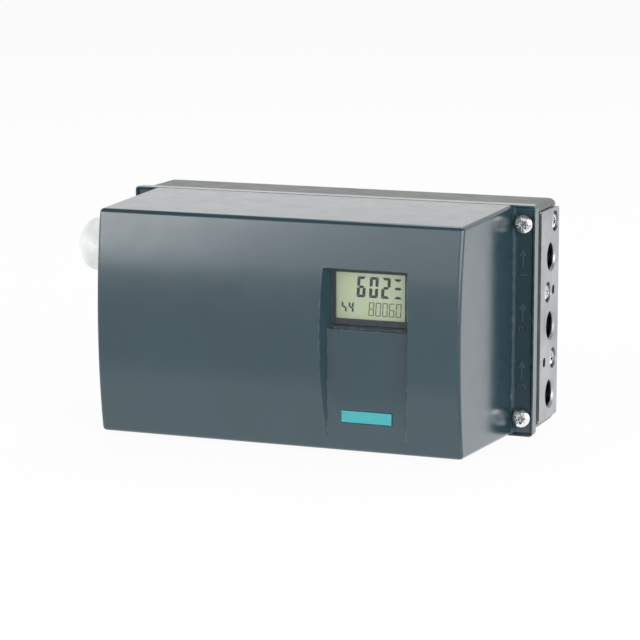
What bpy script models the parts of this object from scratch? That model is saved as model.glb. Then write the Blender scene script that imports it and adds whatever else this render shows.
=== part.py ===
"""Valve positioner: a two-part housing with its port strip, feedback shaft, electronics and valve block.

Metres. +Z is up, +X is the port strip's side and -Y is the front, where the cover lifts off.
The origin lies on the rear mounting face, at the middle of the housing.
"""
import math

import bmesh
import bpy
from mathutils import Vector

for leftover in list(bpy.data.objects):
    bpy.data.objects.remove(leftover, do_unlink=True)

# Clearances
GAP = 0.0003
BITE = 0.0005
THROUGH = 0.001

# Cover: flange plate, drafted hood and convex front
COVER_WIDTH = 0.1833
COVER_HEIGHT = 0.0986
SPLIT_DEPTH = 0.0294
FLANGE_THICKNESS = 0.00495
FLANGE_CORNER = 0.0016
FLANGE_LEDGE = 0.00965
HOOD_STEP = 0.0001
HOOD_DEPTH = 0.0603
HOOD_SIDE_DRAFT = 0.00155
HOOD_TOP_DRAFT = 0.00165
FRONT_BULGE = 0.0043
HOOD_FILLET = 0.0017
HOOD_WALL = 0.0029
RIM_WIDTH = 0.0007
RIM_DEPTH = 0.0010
RIM_SLOPE = 0.0008

# Recessed panel in the front, and its window
PANEL_SINK = 0.00075
PANEL_WIDTH = 0.0343
PANEL_INSET = 0.0254
PANEL_DROP = 0.0208
PANEL_LEFT_SLOPE = 0.65
PANEL_RIGHT_SLOPE = 0.45
PANEL_BACKING = 0.0035
PANEL_MARGIN = 0.0030
WINDOW_STEP = 0.0010
WINDOW_HEIGHT = 0.0254
WINDOW_LEDGE = 0.0008
LENS_THICKNESS = 0.0015
PLATE_WIDTH = 0.0218
PLATE_HEIGHT = 0.0048
PLATE_RISE = 0.0165
PLATE_THICKNESS = 0.0006
PLATE_PROUD = 0.0003

# Base housing
BASE_SETBACK_SIDE = 0.0010
BASE_SETBACK_TOP = 0.00085
BASE_CORNER = 0.0030
BASE_WALL = 0.0035
BASE_BACK = 0.0040
POCKET_WALL = 0.0030
POCKET_FRONT_GAP = 0.0008
RELIEF_DEPTH = 0.0014
RELIEF_RIB = 0.0030

# Cover screws and their seats
SCREW_INSET_X = 0.00505
SCREW_INSET_Z = 0.0079
M4_RADIUS = 0.00195
M4_HEAD_RADIUS = 0.00415
M4_HEAD_HEIGHT = 0.0027
COVER_SCREW_GRIP = 0.0091

# Gasket in the base's front edge
GASKET_WIDTH = 0.0014
GASKET_HEIGHT = 0.0013
GASKET_LAND = 0.0007

# Port strip
STRIP_PROUD = 0.0014
STRIP_DEPTH = 0.0130
STRIP_FRONT_EDGE = 0.0038
STRIP_END_EDGE = 0.00325
STRIP_CORNER = 0.0012
STRIP_GASKET = 0.0010
NOTCH_WIDTH = 0.0076
NOTCH_HEIGHT = 0.0084
NOTCH_WEB = 0.0019
PORT_FROM_TOP = 0.0203
PORT_FROM_BOTTOM = 0.01055
PORT_FROM_BACK = 0.01095
PORT_RADIUS = 0.00572
PORT_MOUTH_RADIUS = 0.0066
PORT_DEPTH = 0.0110
PASSAGE_RADIUS = 0.0020
STRIP_SCREW_END = 0.0058
STRIP_SCREW_FROM_BACK = (0.0060, 0.0156, 0.0069)
STRIP_SEAT_RADIUS = 0.0045
STRIP_SEAT_DEPTH = 0.0032
TAPPED_HOLE_FROM_BACK = 0.0074
TAPPED_HOLE_FROM_FRONT = 0.0061
TAPPED_HOLE_RADIUS = 0.0021
TAPPED_HOLE_DEPTH = 0.0080

# Mounting inserts in the back, M8
INSERT_SPAN_X = 0.0585
INSERT_SPAN_Z = 0.0295
INSERT_RADIUS = 0.0055
INSERT_BORE = 0.0034
INSERT_LENGTH = 0.0145
INSERT_WALL = 0.0028
INSERT_FROM_BOTTOM = 0.0117
INSERT_FROM_BLOCK = 0.0027
INSERT_FLOOR = 0.0020

# Feedback shaft and its sensor drive
SHAFT_RADIUS = 0.0040
SHAFT_FRONT_RADIUS = 0.0030
SHAFT_REACH = 0.0150
SHAFT_FLAT_DEPTH = 0.0010
SHAFT_FLAT_LENGTH = 0.0120
BUSH_WALL = 0.0019
BUSH_LENGTH = 0.0062
BUSH_FLANGE = 0.0010
SEAL_LENGTH = 0.0026
SHAFT_BOSS_WALL = 0.0030
GEAR_MODULE = 0.0008
GEAR_TEETH = 40
PINION_TEETH = 20
GEAR_WIDTH = 0.0050
GEAR_BACKLASH = 0.00012
CIRCLIP_WALL = 0.0022
CIRCLIP_THICKNESS = 0.0010
BRACKET_THICKNESS = 0.0020
BRACKET_BORDER = 0.0045
BRACKET_NECK = 0.0120
POST_CLEARANCE = 0.0035
PEG_CLEARANCE = 0.0015
POST_RADIUS = 0.0037
SENSOR_RADIUS = 0.0085
SENSOR_LENGTH = 0.0095
SPINDLE_RADIUS = 0.0020
M3_RADIUS = 0.00145
M3_HEAD_RADIUS = 0.0028
M3_HEAD_HEIGHT = 0.0020
M3_GRIP = 0.0060
WHEEL_RADIUS = 0.0105
WHEEL_WIDTH = 0.0090
WHEEL_PROUD = 0.0015
WHEEL_FLUTES = 22
WHEEL_FLUTE_DEPTH = 0.0005

# Electronics
BOARD_FACE = 0.0380
BOARD_THICKNESS = 0.0016
BOARD_CORNER = 0.0025
CABLE_ROOM = 0.0070
CARRIER_CLEARANCE = 0.00265
CARRIER_FROM_TERMINALS = 0.0035
CARRIER_FROM_BLOCK = 0.0015
CARRIER_FACE = 0.0580
CARRIER_WALL = 0.0020
CARRIER_CORNER = 0.0040
CARRIER_SCREW_INSET = 0.0070
TURRET_SETBACK = 0.0036
TURRET_MARGIN = 0.0006
TURRET_SKIRT = 0.0035
DISPLAY_SIDE = 0.00215
DISPLAY_DROP = 0.0022
DISPLAY_FOOT = 0.0040
GLASS_MARGIN = 0.0016
GLASS_THICKNESS = 0.0026
FRAME_BORDER = 0.0030
FRAME_LIP = 0.0007
KEY_RADIUS = 0.0034
KEY_SPACING = 0.0105
KEY_FROM_FRAME = 0.0034
KEY_STANDING = 0.0024
KEY_COLLAR = 0.0009
KEY_STEM = 0.0070
KEY_TRAVEL = 0.0008
SELECTOR_RADIUS = 0.0075
SELECTOR_HEIGHT = 0.0045
SELECTOR_STEM = 0.0030
SELECTOR_OFFSET = 0.0260
SELECTOR_BAR = 0.0022
TERMINAL_PITCH = 0.00508
TERMINAL_WIDTH = 0.0130
TERMINAL_HEIGHT = 0.0140
TERMINAL_EDGE = 0.0010
TERMINAL_SPLIT = 0.0050
TERMINAL_WELL_RADIUS = 0.0017
TERMINAL_ENTRY = 0.0031

# Pneumatics
BLOCK_WIDTH = 0.0136
BLOCK_END_GAP = 0.0020
BLOCK_FACE = 0.0440
BLOCK_BEVEL = 0.0012
PILOT_SETBACK = 0.0007
PILOT_END_GAP = 0.0025
PILOT_LENGTH = 0.0160
PILOT_RIB = 0.0008
RESTRICTOR_RADIUS = 0.0032
RESTRICTOR_LENGTH = 0.0065
RESTRICTOR_SPACING = 0.0125
PURGE_FROM_END = 0.0070
PURGE_SLOT_LENGTH = 0.0078
PURGE_SLOT_WIDTH = 0.0070
PURGE_SLOT_DEPTH = 0.0030
PURGE_KNOB_LENGTH = 0.0038
PURGE_KNOB_HEIGHT = 0.0042
SILENCER_RADIUS = 0.0080
SILENCER_THICKNESS = 0.0030
SILENCER_FROM_INSERTS = 0.0248
EXHAUST_RADIUS = 0.0050

# Cable entries, M20
ENTRY_Z = 0.0195
ENTRY_THREAD_RADIUS = 0.0097
GLAND_FLATS = 0.0240
GLAND_HEX_LENGTH = 0.0066
GLAND_NECK_LENGTH = 0.0140
GLAND_NECK_RADIUS = 0.0088
GLAND_BORE = 0.0056
NUT_LENGTH = 0.0264
NUT_DOME = 0.0066
NUT_MOUTH = 0.0046
NUT_NOSE = 0.0068
NUT_WALL = 0.0021
WASHER_THICKNESS = 0.0014
WASHER_WALL = 0.0026
SEAL_BORE = 0.0040
PLUG_LENGTH = 0.0060
GROUND_GRIP = 0.0080
GROUND_CLAMP = 0.0090
GROUND_CLAMP_THICKNESS = 0.0012

# Finish, as colour, roughness and metallic value
FINISHES = {
    "cover_plastic": ((0.085, 0.125, 0.145), 0.28, 0.0),
    "base_grey": ((0.235, 0.235, 0.220), 0.42, 0.0),
    "port_aluminium": ((0.50, 0.51, 0.54), 0.38, 1.0),
    "chrome": ((0.75, 0.76, 0.77), 0.12, 1.0),
    "steel": ((0.42, 0.43, 0.44), 0.30, 1.0),
    "brass": ((0.62, 0.46, 0.20), 0.32, 1.0),
    "black_rubber": ((0.015, 0.015, 0.016), 0.75, 0.0),
    "clear_lens": ((0.80, 0.85, 0.86), 0.06, 0.0),
    "display_glass": ((0.42, 0.48, 0.33), 0.15, 0.0),
    "display_frame": ((0.035, 0.04, 0.045), 0.40, 0.0),
    "teal_plate": ((0.04, 0.42, 0.44), 0.30, 0.0),
    "white_nylon": ((0.72, 0.74, 0.73), 0.35, 0.0),
    "yellow_nylon": ((0.75, 0.52, 0.04), 0.45, 0.0),
    "carrier_grey": ((0.30, 0.32, 0.33), 0.50, 0.0),
    "key_grey": ((0.55, 0.57, 0.58), 0.45, 0.0),
    "black_plastic": ((0.03, 0.03, 0.032), 0.45, 0.0),
    "board_green": ((0.02, 0.16, 0.07), 0.35, 0.0),
    "terminal_green": ((0.05, 0.30, 0.12), 0.45, 0.0),
    "sintered_bronze": ((0.45, 0.30, 0.14), 0.80, 1.0),
}

# Places worked out from the sizes above; the front is at negative Y
HOOD_WIDTH = COVER_WIDTH - 2 * FLANGE_LEDGE
BASE_WIDTH = COVER_WIDTH - 2 * BASE_SETBACK_SIDE
BASE_HEIGHT = COVER_HEIGHT - 2 * BASE_SETBACK_TOP
COVER_BACK_Y = -SPLIT_DEPTH
FLANGE_FACE_Y = COVER_BACK_Y - FLANGE_THICKNESS
FLANGE_FLOOR_Y = FLANGE_FACE_Y + RIM_DEPTH
HOOD_FRONT_Y = FLANGE_FACE_Y - HOOD_DEPTH
PANEL_RIGHT = HOOD_WIDTH / 2 - PANEL_INSET
PANEL_LEFT = PANEL_RIGHT - PANEL_WIDTH
PANEL_TOP = COVER_HEIGHT / 2 - PANEL_DROP
PANEL_FLOOR_Y = HOOD_FRONT_Y - PANEL_SINK
PLATE_CENTRE_Z = PLATE_RISE - COVER_HEIGHT / 2
LENS_FRONT_Y = PANEL_FLOOR_Y + WINDOW_STEP
PANEL_BACK_Y = PANEL_FLOOR_Y + PANEL_BACKING
WINDOW_BOTTOM = PANEL_TOP - WINDOW_HEIGHT
BASE_FRONT_Y = COVER_BACK_Y + GAP
BASE_BACK_Y = -BASE_BACK
SCREW_X = COVER_WIDTH / 2 - SCREW_INSET_X
SCREW_Z = COVER_HEIGHT / 2 - SCREW_INSET_Z
STRIP_FACE_X = BASE_WIDTH / 2 + STRIP_PROUD
STRIP_BACK_X = STRIP_FACE_X - STRIP_DEPTH
STRIP_WIDTH = SPLIT_DEPTH - STRIP_FRONT_EDGE
STRIP_HEIGHT = BASE_HEIGHT - 2 * STRIP_END_EDGE
POCKET_X = STRIP_BACK_X - STRIP_GASKET - 2 * GAP
CAVITY_LEFT = HOOD_WALL - HOOD_WIDTH / 2
CAVITY_RIGHT = POCKET_X - POCKET_WALL
CAVITY_TOP = BASE_HEIGHT / 2 - BASE_WALL
POCKET_FRONT_Y = -STRIP_WIDTH - POCKET_FRONT_GAP
NOTCH_Y = -STRIP_WIDTH + NOTCH_WIDTH
NOTCH_Z = STRIP_HEIGHT / 2 - NOTCH_HEIGHT
NOTCH_X = STRIP_FACE_X - NOTCH_WEB
PORT_TOP = STRIP_HEIGHT / 2 - PORT_FROM_TOP
PORT_BOTTOM = PORT_FROM_BOTTOM - STRIP_HEIGHT / 2
PORT_MIDDLE = (PORT_TOP + PORT_BOTTOM) / 2
PORT_PLACES = [(-PORT_FROM_BACK, z) for z in (PORT_TOP, PORT_MIDDLE, PORT_BOTTOM)]
UPPER_WEB_Z = (PORT_TOP + PORT_MIDDLE) / 2
LOWER_WEB_Z = (PORT_MIDDLE + PORT_BOTTOM) / 2
STRIP_SCREW_Z = (STRIP_HEIGHT / 2 - STRIP_SCREW_END, UPPER_WEB_Z, LOWER_WEB_Z)
STRIP_SCREW_PLACES = [(-back, z) for back, z in zip(STRIP_SCREW_FROM_BACK, STRIP_SCREW_Z)]
TAPPED_HOLE_PLACES = [(-TAPPED_HOLE_FROM_BACK, UPPER_WEB_Z),
                      (TAPPED_HOLE_FROM_FRONT - STRIP_WIDTH, LOWER_WEB_Z)]
BLOCK_RIGHT = CAVITY_RIGHT - GAP
BLOCK_LEFT = BLOCK_RIGHT - BLOCK_WIDTH
BLOCK_BACK_Y = BASE_BACK_Y - GAP
BLOCK_FRONT_Y = -BLOCK_FACE
BLOCK_CENTRE_X = (BLOCK_LEFT + BLOCK_RIGHT) / 2
INSERT_BOSS_RADIUS = INSERT_RADIUS + GAP + INSERT_WALL
SHAFT_X = BLOCK_LEFT - INSERT_FROM_BLOCK - INSERT_BOSS_RADIUS - INSERT_SPAN_X / 2
SHAFT_Z = INSERT_FROM_BOTTOM + INSERT_SPAN_Z / 2 - BASE_HEIGHT / 2
INSERT_PLACES = [(SHAFT_X + sx * INSERT_SPAN_X / 2, SHAFT_Z + sz * INSERT_SPAN_Z / 2)
                 for sz in (1, -1) for sx in (-1, 1)]
BUSH_RADIUS = SHAFT_RADIUS + GAP + BUSH_WALL
BUSH_BORE_RADIUS = BUSH_RADIUS + GAP
SHAFT_BOSS_Y = -(2 * GAP + SEAL_LENGTH + GAP + BUSH_LENGTH)
GEAR_BACK_Y = SHAFT_BOSS_Y - 2 * GAP - BUSH_FLANGE
GEAR_FRONT_Y = GEAR_BACK_Y - GEAR_WIDTH
SENSOR_Z = SHAFT_Z + GEAR_MODULE * (GEAR_TEETH + PINION_TEETH) / 2
CIRCLIP_Y = GEAR_FRONT_Y - GAP
BRACKET_BACK_Y = CIRCLIP_Y - CIRCLIP_THICKNESS - 3 * GAP
BRACKET_FRONT_Y = BRACKET_BACK_Y - BRACKET_THICKNESS
POST_SIDEWAYS = GEAR_MODULE * (GEAR_TEETH / 2 + 1) + POST_RADIUS + POST_CLEARANCE
POST_PLACES = [(SHAFT_X + side * POST_SIDEWAYS, SHAFT_Z) for side in (-1, 1)]
PEG_PLACE = (SHAFT_X, SENSOR_Z + GEAR_MODULE * (PINION_TEETH / 2 + 1) + POST_RADIUS + PEG_CLEARANCE)
BOARD_BACK_Y = -BOARD_FACE
BOARD_FRONT_Y = BOARD_BACK_Y - BOARD_THICKNESS
BOARD_LEFT = CAVITY_LEFT + CABLE_ROOM
CARRIER_HEIGHT = COVER_HEIGHT - 2 * (HOOD_STEP + HOOD_WALL + HOOD_TOP_DRAFT + CARRIER_CLEARANCE)
TERMINAL_LEFT = BOARD_LEFT + TERMINAL_EDGE
TERMINAL_POLES = int((CARRIER_HEIGHT - TERMINAL_SPLIT) / 2 / TERMINAL_PITCH)
CARRIER_LEFT = TERMINAL_LEFT + TERMINAL_WIDTH + CARRIER_FROM_TERMINALS
CARRIER_RIGHT = BLOCK_LEFT - CARRIER_FROM_BLOCK
CARRIER_BACK_Y = BOARD_FRONT_Y - GAP
CARRIER_FRONT_Y = -CARRIER_FACE
CARRIER_SCREW_PLACES = [(CARRIER_LEFT + CARRIER_SCREW_INSET, CARRIER_HEIGHT / 2 - CARRIER_SCREW_INSET),
                        (CARRIER_LEFT + CARRIER_SCREW_INSET, -CARRIER_HEIGHT / 2 + CARRIER_SCREW_INSET),
                        (CARRIER_RIGHT - CARRIER_SCREW_INSET, CARRIER_HEIGHT / 2 - CARRIER_SCREW_INSET),
                        (CARRIER_RIGHT - CARRIER_SCREW_INSET, -CARRIER_HEIGHT / 2 + CARRIER_SCREW_INSET)]
SCREWED_PLACES = CARRIER_SCREW_PLACES[1:3]
FRAME_FRONT_Y = PANEL_BACK_Y + GAP
DISPLAY_Y = FRAME_FRONT_Y + FRAME_LIP + GAP
TURRET_FRONT_Y = DISPLAY_Y + TURRET_SETBACK
DISPLAY_LEFT = PANEL_LEFT + DISPLAY_SIDE
DISPLAY_RIGHT = PANEL_RIGHT - DISPLAY_SIDE
DISPLAY_TOP = PANEL_TOP - DISPLAY_DROP
DISPLAY_BOTTOM = WINDOW_BOTTOM + DISPLAY_FOOT
DISPLAY_CENTRE_X = (DISPLAY_LEFT + DISPLAY_RIGHT) / 2
KEY_ROW_Z = DISPLAY_BOTTOM - FRAME_BORDER - KEY_FROM_FRAME - KEY_RADIUS
TURRET_TOP = DISPLAY_TOP + FRAME_BORDER + TURRET_MARGIN
TURRET_BOTTOM = KEY_ROW_Z - KEY_RADIUS - TURRET_SKIRT
SELECTOR_X = SHAFT_X + SELECTOR_OFFSET
SELECTOR_Z = (TURRET_BOTTOM - CARRIER_HEIGHT / 2) / 2
WHEEL_FRONT_Y = CARRIER_FRONT_Y - WHEEL_PROUD
BLOCK_TOP = CARRIER_HEIGHT / 2 - BLOCK_END_GAP
PURGE_Z = PURGE_FROM_END - BLOCK_TOP
RESTRICTOR_Z = [PURGE_Z + step * RESTRICTOR_SPACING for step in (2, 1)]
PILOT_TOP = BLOCK_TOP - PILOT_END_GAP
PILOT_BOTTOM = RESTRICTOR_Z[0] + RESTRICTOR_RADIUS + 2 * PILOT_END_GAP
PILOT_HEIGHT = PILOT_TOP - PILOT_BOTTOM
SILENCER_PLACE = (INSERT_PLACES[0][0] - SILENCER_FROM_INSERTS, SHAFT_Z)
ENTRY_Y = BASE_FRONT_Y / 2
SIDE_X = -BASE_WIDTH / 2
GLAND_FACE_X = SIDE_X - 2 * GAP - WASHER_THICKNESS


# Mesh tools

def spot(axis, a, b, along):
    """The point with a and b across an axis, in X, Y, Z order, and along on it."""
    if axis == "X":
        return Vector((along, a, b))
    if axis == "Y":
        return Vector((a, along, b))
    return Vector((a, b, along))


def rectangle(a_low, a_high, b_low, b_high, radius=0.0, steps=3):
    """A rectangle's outline, its corners rounded where radius isn't 0."""
    if radius <= 0:
        return [(a_low, b_low), (a_high, b_low), (a_high, b_high), (a_low, b_high)]
    points = []
    corners = ((a_low, b_low, 180), (a_high, b_low, 270), (a_high, b_high, 0), (a_low, b_high, 90))
    for a, b, start in corners:
        centre_a = a + (radius if a == a_low else -radius)
        centre_b = b + (radius if b == b_low else -radius)
        for step in range(steps + 1):
            angle = math.radians(start + 90 * step / steps)
            points.append((centre_a + radius * math.cos(angle), centre_b + radius * math.sin(angle)))
    return points


def circle(a, b, radius, count=20, start=0.0):
    """A circle's outline."""
    turns = [start + 2 * math.pi * step / count for step in range(count)]
    return [(a + radius * math.cos(turn), b + radius * math.sin(turn)) for turn in turns]


def hexagon(a, b, flats):
    """A hexagon's outline with flats at its top and bottom."""
    return circle(a, b, flats / math.sqrt(3), 6)


def loft(rings):
    """A closed solid through rings of as many points each, with flat ends."""
    bm = bmesh.new()
    layers = [[bm.verts.new(point) for point in ring] for ring in rings]
    for near, far in zip(layers, layers[1:]):
        for index in range(len(near)):
            after = (index + 1) % len(near)
            bm.faces.new((near[index], near[after], far[after], far[index]))
    bm.faces.new(layers[0])
    bm.faces.new(layers[-1])
    bmesh.ops.recalc_face_normals(bm, faces=bm.faces)
    return bm


def prism(outline, axis, low, high):
    """An outline pulled along an axis."""
    return loft([[spot(axis, a, b, along) for a, b in outline] for along in (low, high)])


def block(low, high):
    """A box between two corners."""
    return prism(rectangle(low[0], high[0], low[2], high[2]), "Y", low[1], high[1])


def turned(axis, a, b, profile, count=20):
    """A solid turned about an axis; profile gives places along it and radii, with flat ends."""
    return loft([[spot(axis, *point, along) for point in circle(a, b, radius, count)]
                 for along, radius in profile])


def tube(axis, a, b, inner, outer, low, high, count=16):
    """A plain ring about an axis."""
    bm = bmesh.new()
    rings = [[bm.verts.new(spot(axis, *point, along)) for point in circle(a, b, radius, count)]
             for along, radius in ((low, inner), (low, outer), (high, outer), (high, inner))]
    for near, far in zip(rings, rings[1:] + rings[:1]):
        for index in range(count):
            after = (index + 1) % count
            bm.faces.new((near[index], near[after], far[after], far[index]))
    bmesh.ops.recalc_face_normals(bm, faces=bm.faces)
    return bm


def together(bodies):
    """Bodies that don't meet, as one mesh."""
    joined = bmesh.new()
    for body in bodies:
        mesh = bpy.data.meshes.new("piece")
        body.to_mesh(mesh)
        body.free()
        joined.from_mesh(mesh)
        bpy.data.meshes.remove(mesh)
    return joined


def rounded(body, radius, steps, keep):
    """The body with the edges that keep picks rounded over."""
    edges = [edge for edge in body.edges if keep(edge)]
    bmesh.ops.bevel(body, geom=edges, offset=radius, offset_type="OFFSET", segments=steps,
                    profile=0.5, affect="EDGES", clamp_overlap=True)
    return body


def runs_along(axis):
    """A test for edges that run along an axis."""
    index = "XYZ".index(axis)
    others = [place for place in range(3) if place != index]

    def test(edge):
        step = edge.verts[1].co - edge.verts[0].co
        return abs(step[index]) > 1e-5 and all(abs(step[place]) < 1e-6 for place in others)
    return test


def lies_at(axis, place):
    """A test for edges that lie in the plane at a place on an axis."""
    index = "XYZ".index(axis)
    return lambda edge: all(abs(vert.co[index] - place) < 1e-6 for vert in edge.verts)


def combine(body, tool, operation):
    """The Boolean of two bodies, worked out by an exact Boolean modifier."""
    objects = []
    for mesh_of in (body, tool):
        mesh = bpy.data.meshes.new("operand")
        mesh_of.to_mesh(mesh)
        mesh_of.free()
        operand = bpy.data.objects.new("operand", mesh)
        bpy.context.collection.objects.link(operand)
        objects.append(operand)
    modifier = objects[0].modifiers.new("boolean", "BOOLEAN")
    modifier.operation = operation
    modifier.solver = "EXACT"
    modifier.object = objects[1]
    result = bmesh.new()
    result.from_object(objects[0], bpy.context.evaluated_depsgraph_get())
    for operand in objects:
        mesh = operand.data
        bpy.data.objects.remove(operand, do_unlink=True)
        bpy.data.meshes.remove(mesh)
    bmesh.ops.remove_doubles(result, verts=result.verts, dist=1e-6)
    bmesh.ops.dissolve_degenerate(result, dist=1e-6, edges=result.edges)
    return result


def cut(body, *tools):
    """The body less tools that don't meet each other."""
    return combine(body, together(tools), "DIFFERENCE")


def add(body, *tools):
    """The body with tools that don't meet each other joined on."""
    return combine(body, together(tools), "UNION")


def finish(name):
    """The material of one finish, made when it is first asked for."""
    if name in bpy.data.materials:
        return bpy.data.materials[name]
    colour, roughness, metallic = FINISHES[name]
    material = bpy.data.materials.new(name)
    material.use_nodes = True
    shader = material.node_tree.nodes["Principled BSDF"]
    shader.inputs["Base Color"].default_value = (*colour, 1.0)
    shader.inputs["Roughness"].default_value = roughness
    shader.inputs["Metallic"].default_value = metallic
    return material


def piece(name, body, finish_name, pivot=(0.0, 0.0, 0.0)):
    """One named object, with its origin at its pivot."""
    bmesh.ops.translate(body, verts=body.verts, vec=-Vector(pivot))
    mesh = bpy.data.meshes.new(name)
    body.to_mesh(mesh)
    body.free()
    mesh.shade_smooth()
    mesh.set_sharp_from_angle(angle=math.radians(30))
    mesh.materials.append(finish(finish_name))
    made = bpy.data.objects.new(name, mesh)
    made.location = pivot
    bpy.context.collection.objects.link(made)
    return made


# Shared shapes

def pan_screw(axis, a, b, seat, outward, head_radius, head_height, shank_radius, grip, count=16):
    """A cross-recess pan-head screw; its head stands on seat and points outward, +1 or -1, on the axis."""
    def at(height):
        return seat + outward * height
    dome = ((0.00, 1.00), (0.45, 1.00), (0.80, 0.84), (1.00, 0.48))
    profile = [(at(-grip), shank_radius), (at(0.0), shank_radius)]
    profile += [(at(head_height * up), head_radius * out) for up, out in dome]
    screw = turned(axis, a, b, profile, count)
    slot_long = head_radius * 0.56
    slot_wide = head_radius * 0.13
    floor = at(head_height * 0.42)
    top = at(head_height + THROUGH)
    low, high = min(floor, top), max(floor, top)
    cross = [(slot_long, slot_wide), (slot_wide, slot_wide), (slot_wide, slot_long)]
    outline = []
    for turn in range(4):
        angle = math.pi / 4 + turn * math.pi / 2
        for x, y in cross:
            outline.append((a + x * math.cos(angle) - y * math.sin(angle),
                            b + x * math.sin(angle) + y * math.cos(angle)))
    return cut(screw, prism(outline, axis, low, high))


def gear_outline(a, b, teeth, module, start):
    """A spur gear's outline with involute flanks, thinned for backlash; start is a tooth's middle."""
    pitch = module * teeth / 2
    base = pitch * math.cos(math.radians(20))
    tip = pitch + module
    root = pitch - 1.25 * module

    def roll(radius):
        if radius <= base:
            return 0.0
        reach = math.sqrt((radius / base) ** 2 - 1)
        return reach - math.atan(reach)
    half_at_pitch = math.pi / (2 * teeth) - GEAR_BACKLASH / pitch
    foot = max(base, root)
    flank = [foot, (foot + tip) / 2, tip]
    points = []
    for tooth in range(teeth):
        middle = start + 2 * math.pi * tooth / teeth
        halves = [(radius, half_at_pitch + roll(pitch) - roll(radius)) for radius in flank]
        root_half = halves[0][1] + 0.12 / teeth
        left = [(root, -root_half)] + [(radius, -half) for radius, half in halves]
        right = [(radius, half) for radius, half in reversed(halves)] + [(root, root_half)]
        for radius, turn in left + right:
            points.append((a + radius * math.cos(middle + turn), b + radius * math.sin(middle + turn)))
    return points


# Cover

def hood(inset, back_y, fillet):
    """The drafted hood with its convex front, inset by a wall from the outside."""
    front_y = HOOD_FRONT_Y + inset
    half_height_back = COVER_HEIGHT / 2 - HOOD_STEP - inset

    def half_width(y):
        return HOOD_WIDTH / 2 - inset - HOOD_SIDE_DRAFT * (FLANGE_FACE_Y - y) / HOOD_DEPTH

    def half_height(y):
        return half_height_back - HOOD_TOP_DRAFT * (FLANGE_FACE_Y - y) / HOOD_DEPTH
    corner = half_height(front_y)
    radius = (corner ** 2 + FRONT_BULGE ** 2) / (2 * FRONT_BULGE)
    sweep = math.asin(corner / radius)
    steps = 14
    outline = [(back_y, half_height(back_y))]
    for step in range(steps + 1):
        turn = sweep * (1 - 2 * step / steps)
        outline.append((front_y - radius * (math.cos(turn) - math.cos(sweep)), radius * math.sin(turn)))
    outline.append((back_y, -half_height(back_y)))
    body = loft([[Vector((side * half_width(y), y, z)) for y, z in outline] for side in (-1, 1)])
    if fillet > 0:
        rounded(body, fillet, 3, lambda edge: not lies_at("Y", back_y)(edge)
                and (edge.calc_face_angle(0.0) > math.radians(40)))
    return body


def cover():
    """Flange plate and hood, hollowed, with rims, screw holes, recessed panel and window."""
    half_width = COVER_WIDTH / 2
    half_height = COVER_HEIGHT / 2
    plate = prism(rectangle(-half_width, half_width, -half_height, half_height, FLANGE_CORNER), "Y",
                  FLANGE_FACE_Y, COVER_BACK_Y)
    shell = add(plate, hood(0.0, COVER_BACK_Y - FLANGE_THICKNESS / 2, HOOD_FILLET))
    backing = block((PANEL_LEFT - PANEL_MARGIN, HOOD_FRONT_Y - 2 * FRONT_BULGE, -half_height - THROUGH),
                    (PANEL_RIGHT + PANEL_MARGIN, PANEL_BACK_Y, PANEL_TOP + PANEL_MARGIN))
    hollow = cut(hood(HOOD_WALL, COVER_BACK_Y + THROUGH, 0.0), backing)
    shell = cut(shell, hollow)
    tools = []
    for side in (-1, 1):
        inner = HOOD_WIDTH / 2 + GAP
        outer = half_width - RIM_WIDTH
        top = half_height - RIM_WIDTH
        low_x, high_x = sorted((side * inner, side * outer))
        face = rectangle(low_x, high_x, -top, top)
        floor = rectangle(low_x + RIM_SLOPE, high_x - RIM_SLOPE, -top + RIM_SLOPE, top - RIM_SLOPE)
        tools.append(loft([[Vector((x, FLANGE_FLOOR_Y, z)) for x, z in floor],
                           [Vector((x, FLANGE_FACE_Y, z)) for x, z in face],
                           [Vector((x, FLANGE_FACE_Y - THROUGH, z)) for x, z in face]]))
    shell = cut(shell, *tools)
    seats = [prism(circle(sx * SCREW_X, sz * SCREW_Z, M4_HEAD_RADIUS + GAP), "Y", FLANGE_FACE_Y - THROUGH,
                   FLANGE_FLOOR_Y) for sx in (-1, 1) for sz in (-1, 1)]
    shell = cut(shell, *seats)
    holes = [prism(circle(sx * SCREW_X, sz * SCREW_Z, M4_RADIUS + GAP, 16), "Y", FLANGE_FACE_Y - THROUGH,
                   COVER_BACK_Y + THROUGH) for sx in (-1, 1) for sz in (-1, 1)]
    shell = cut(shell, *holes)
    shell = cut(shell, panel_recess())
    shell = cut(shell, window_pocket(), plate_pocket())
    return cut(shell, window_hole())


def panel_edges(y):
    """The recess's left and right edges at a depth."""
    rise = PANEL_FLOOR_Y - y
    return PANEL_LEFT - PANEL_LEFT_SLOPE * rise, PANEL_RIGHT + PANEL_RIGHT_SLOPE * rise


def panel_recess():
    """The tool for the flat panel, with sloped sides."""
    front_y = HOOD_FRONT_Y - 2 * FRONT_BULGE
    rings = []
    for y in (PANEL_FLOOR_Y, front_y):
        left, right = panel_edges(y)
        rings.append([Vector((x, y, z)) for x, z in rectangle(left, right, -COVER_HEIGHT, PANEL_TOP)])
    return loft(rings)


def window_pocket():
    """The tool for the lens's seat; its sides carry on from the panel's."""
    left, right = panel_edges(LENS_FRONT_Y)
    seat_y = LENS_FRONT_Y + LENS_THICKNESS + GAP
    front_left, front_right = panel_edges(PANEL_FLOOR_Y - THROUGH)
    outer = rectangle(front_left, front_right, WINDOW_BOTTOM, PANEL_TOP)
    seat = rectangle(left, right, WINDOW_BOTTOM, PANEL_TOP)
    return loft([[Vector((x, PANEL_FLOOR_Y - THROUGH, z)) for x, z in outer],
                 [Vector((x, LENS_FRONT_Y, z)) for x, z in seat],
                 [Vector((x, seat_y, z)) for x, z in seat]])


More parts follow.
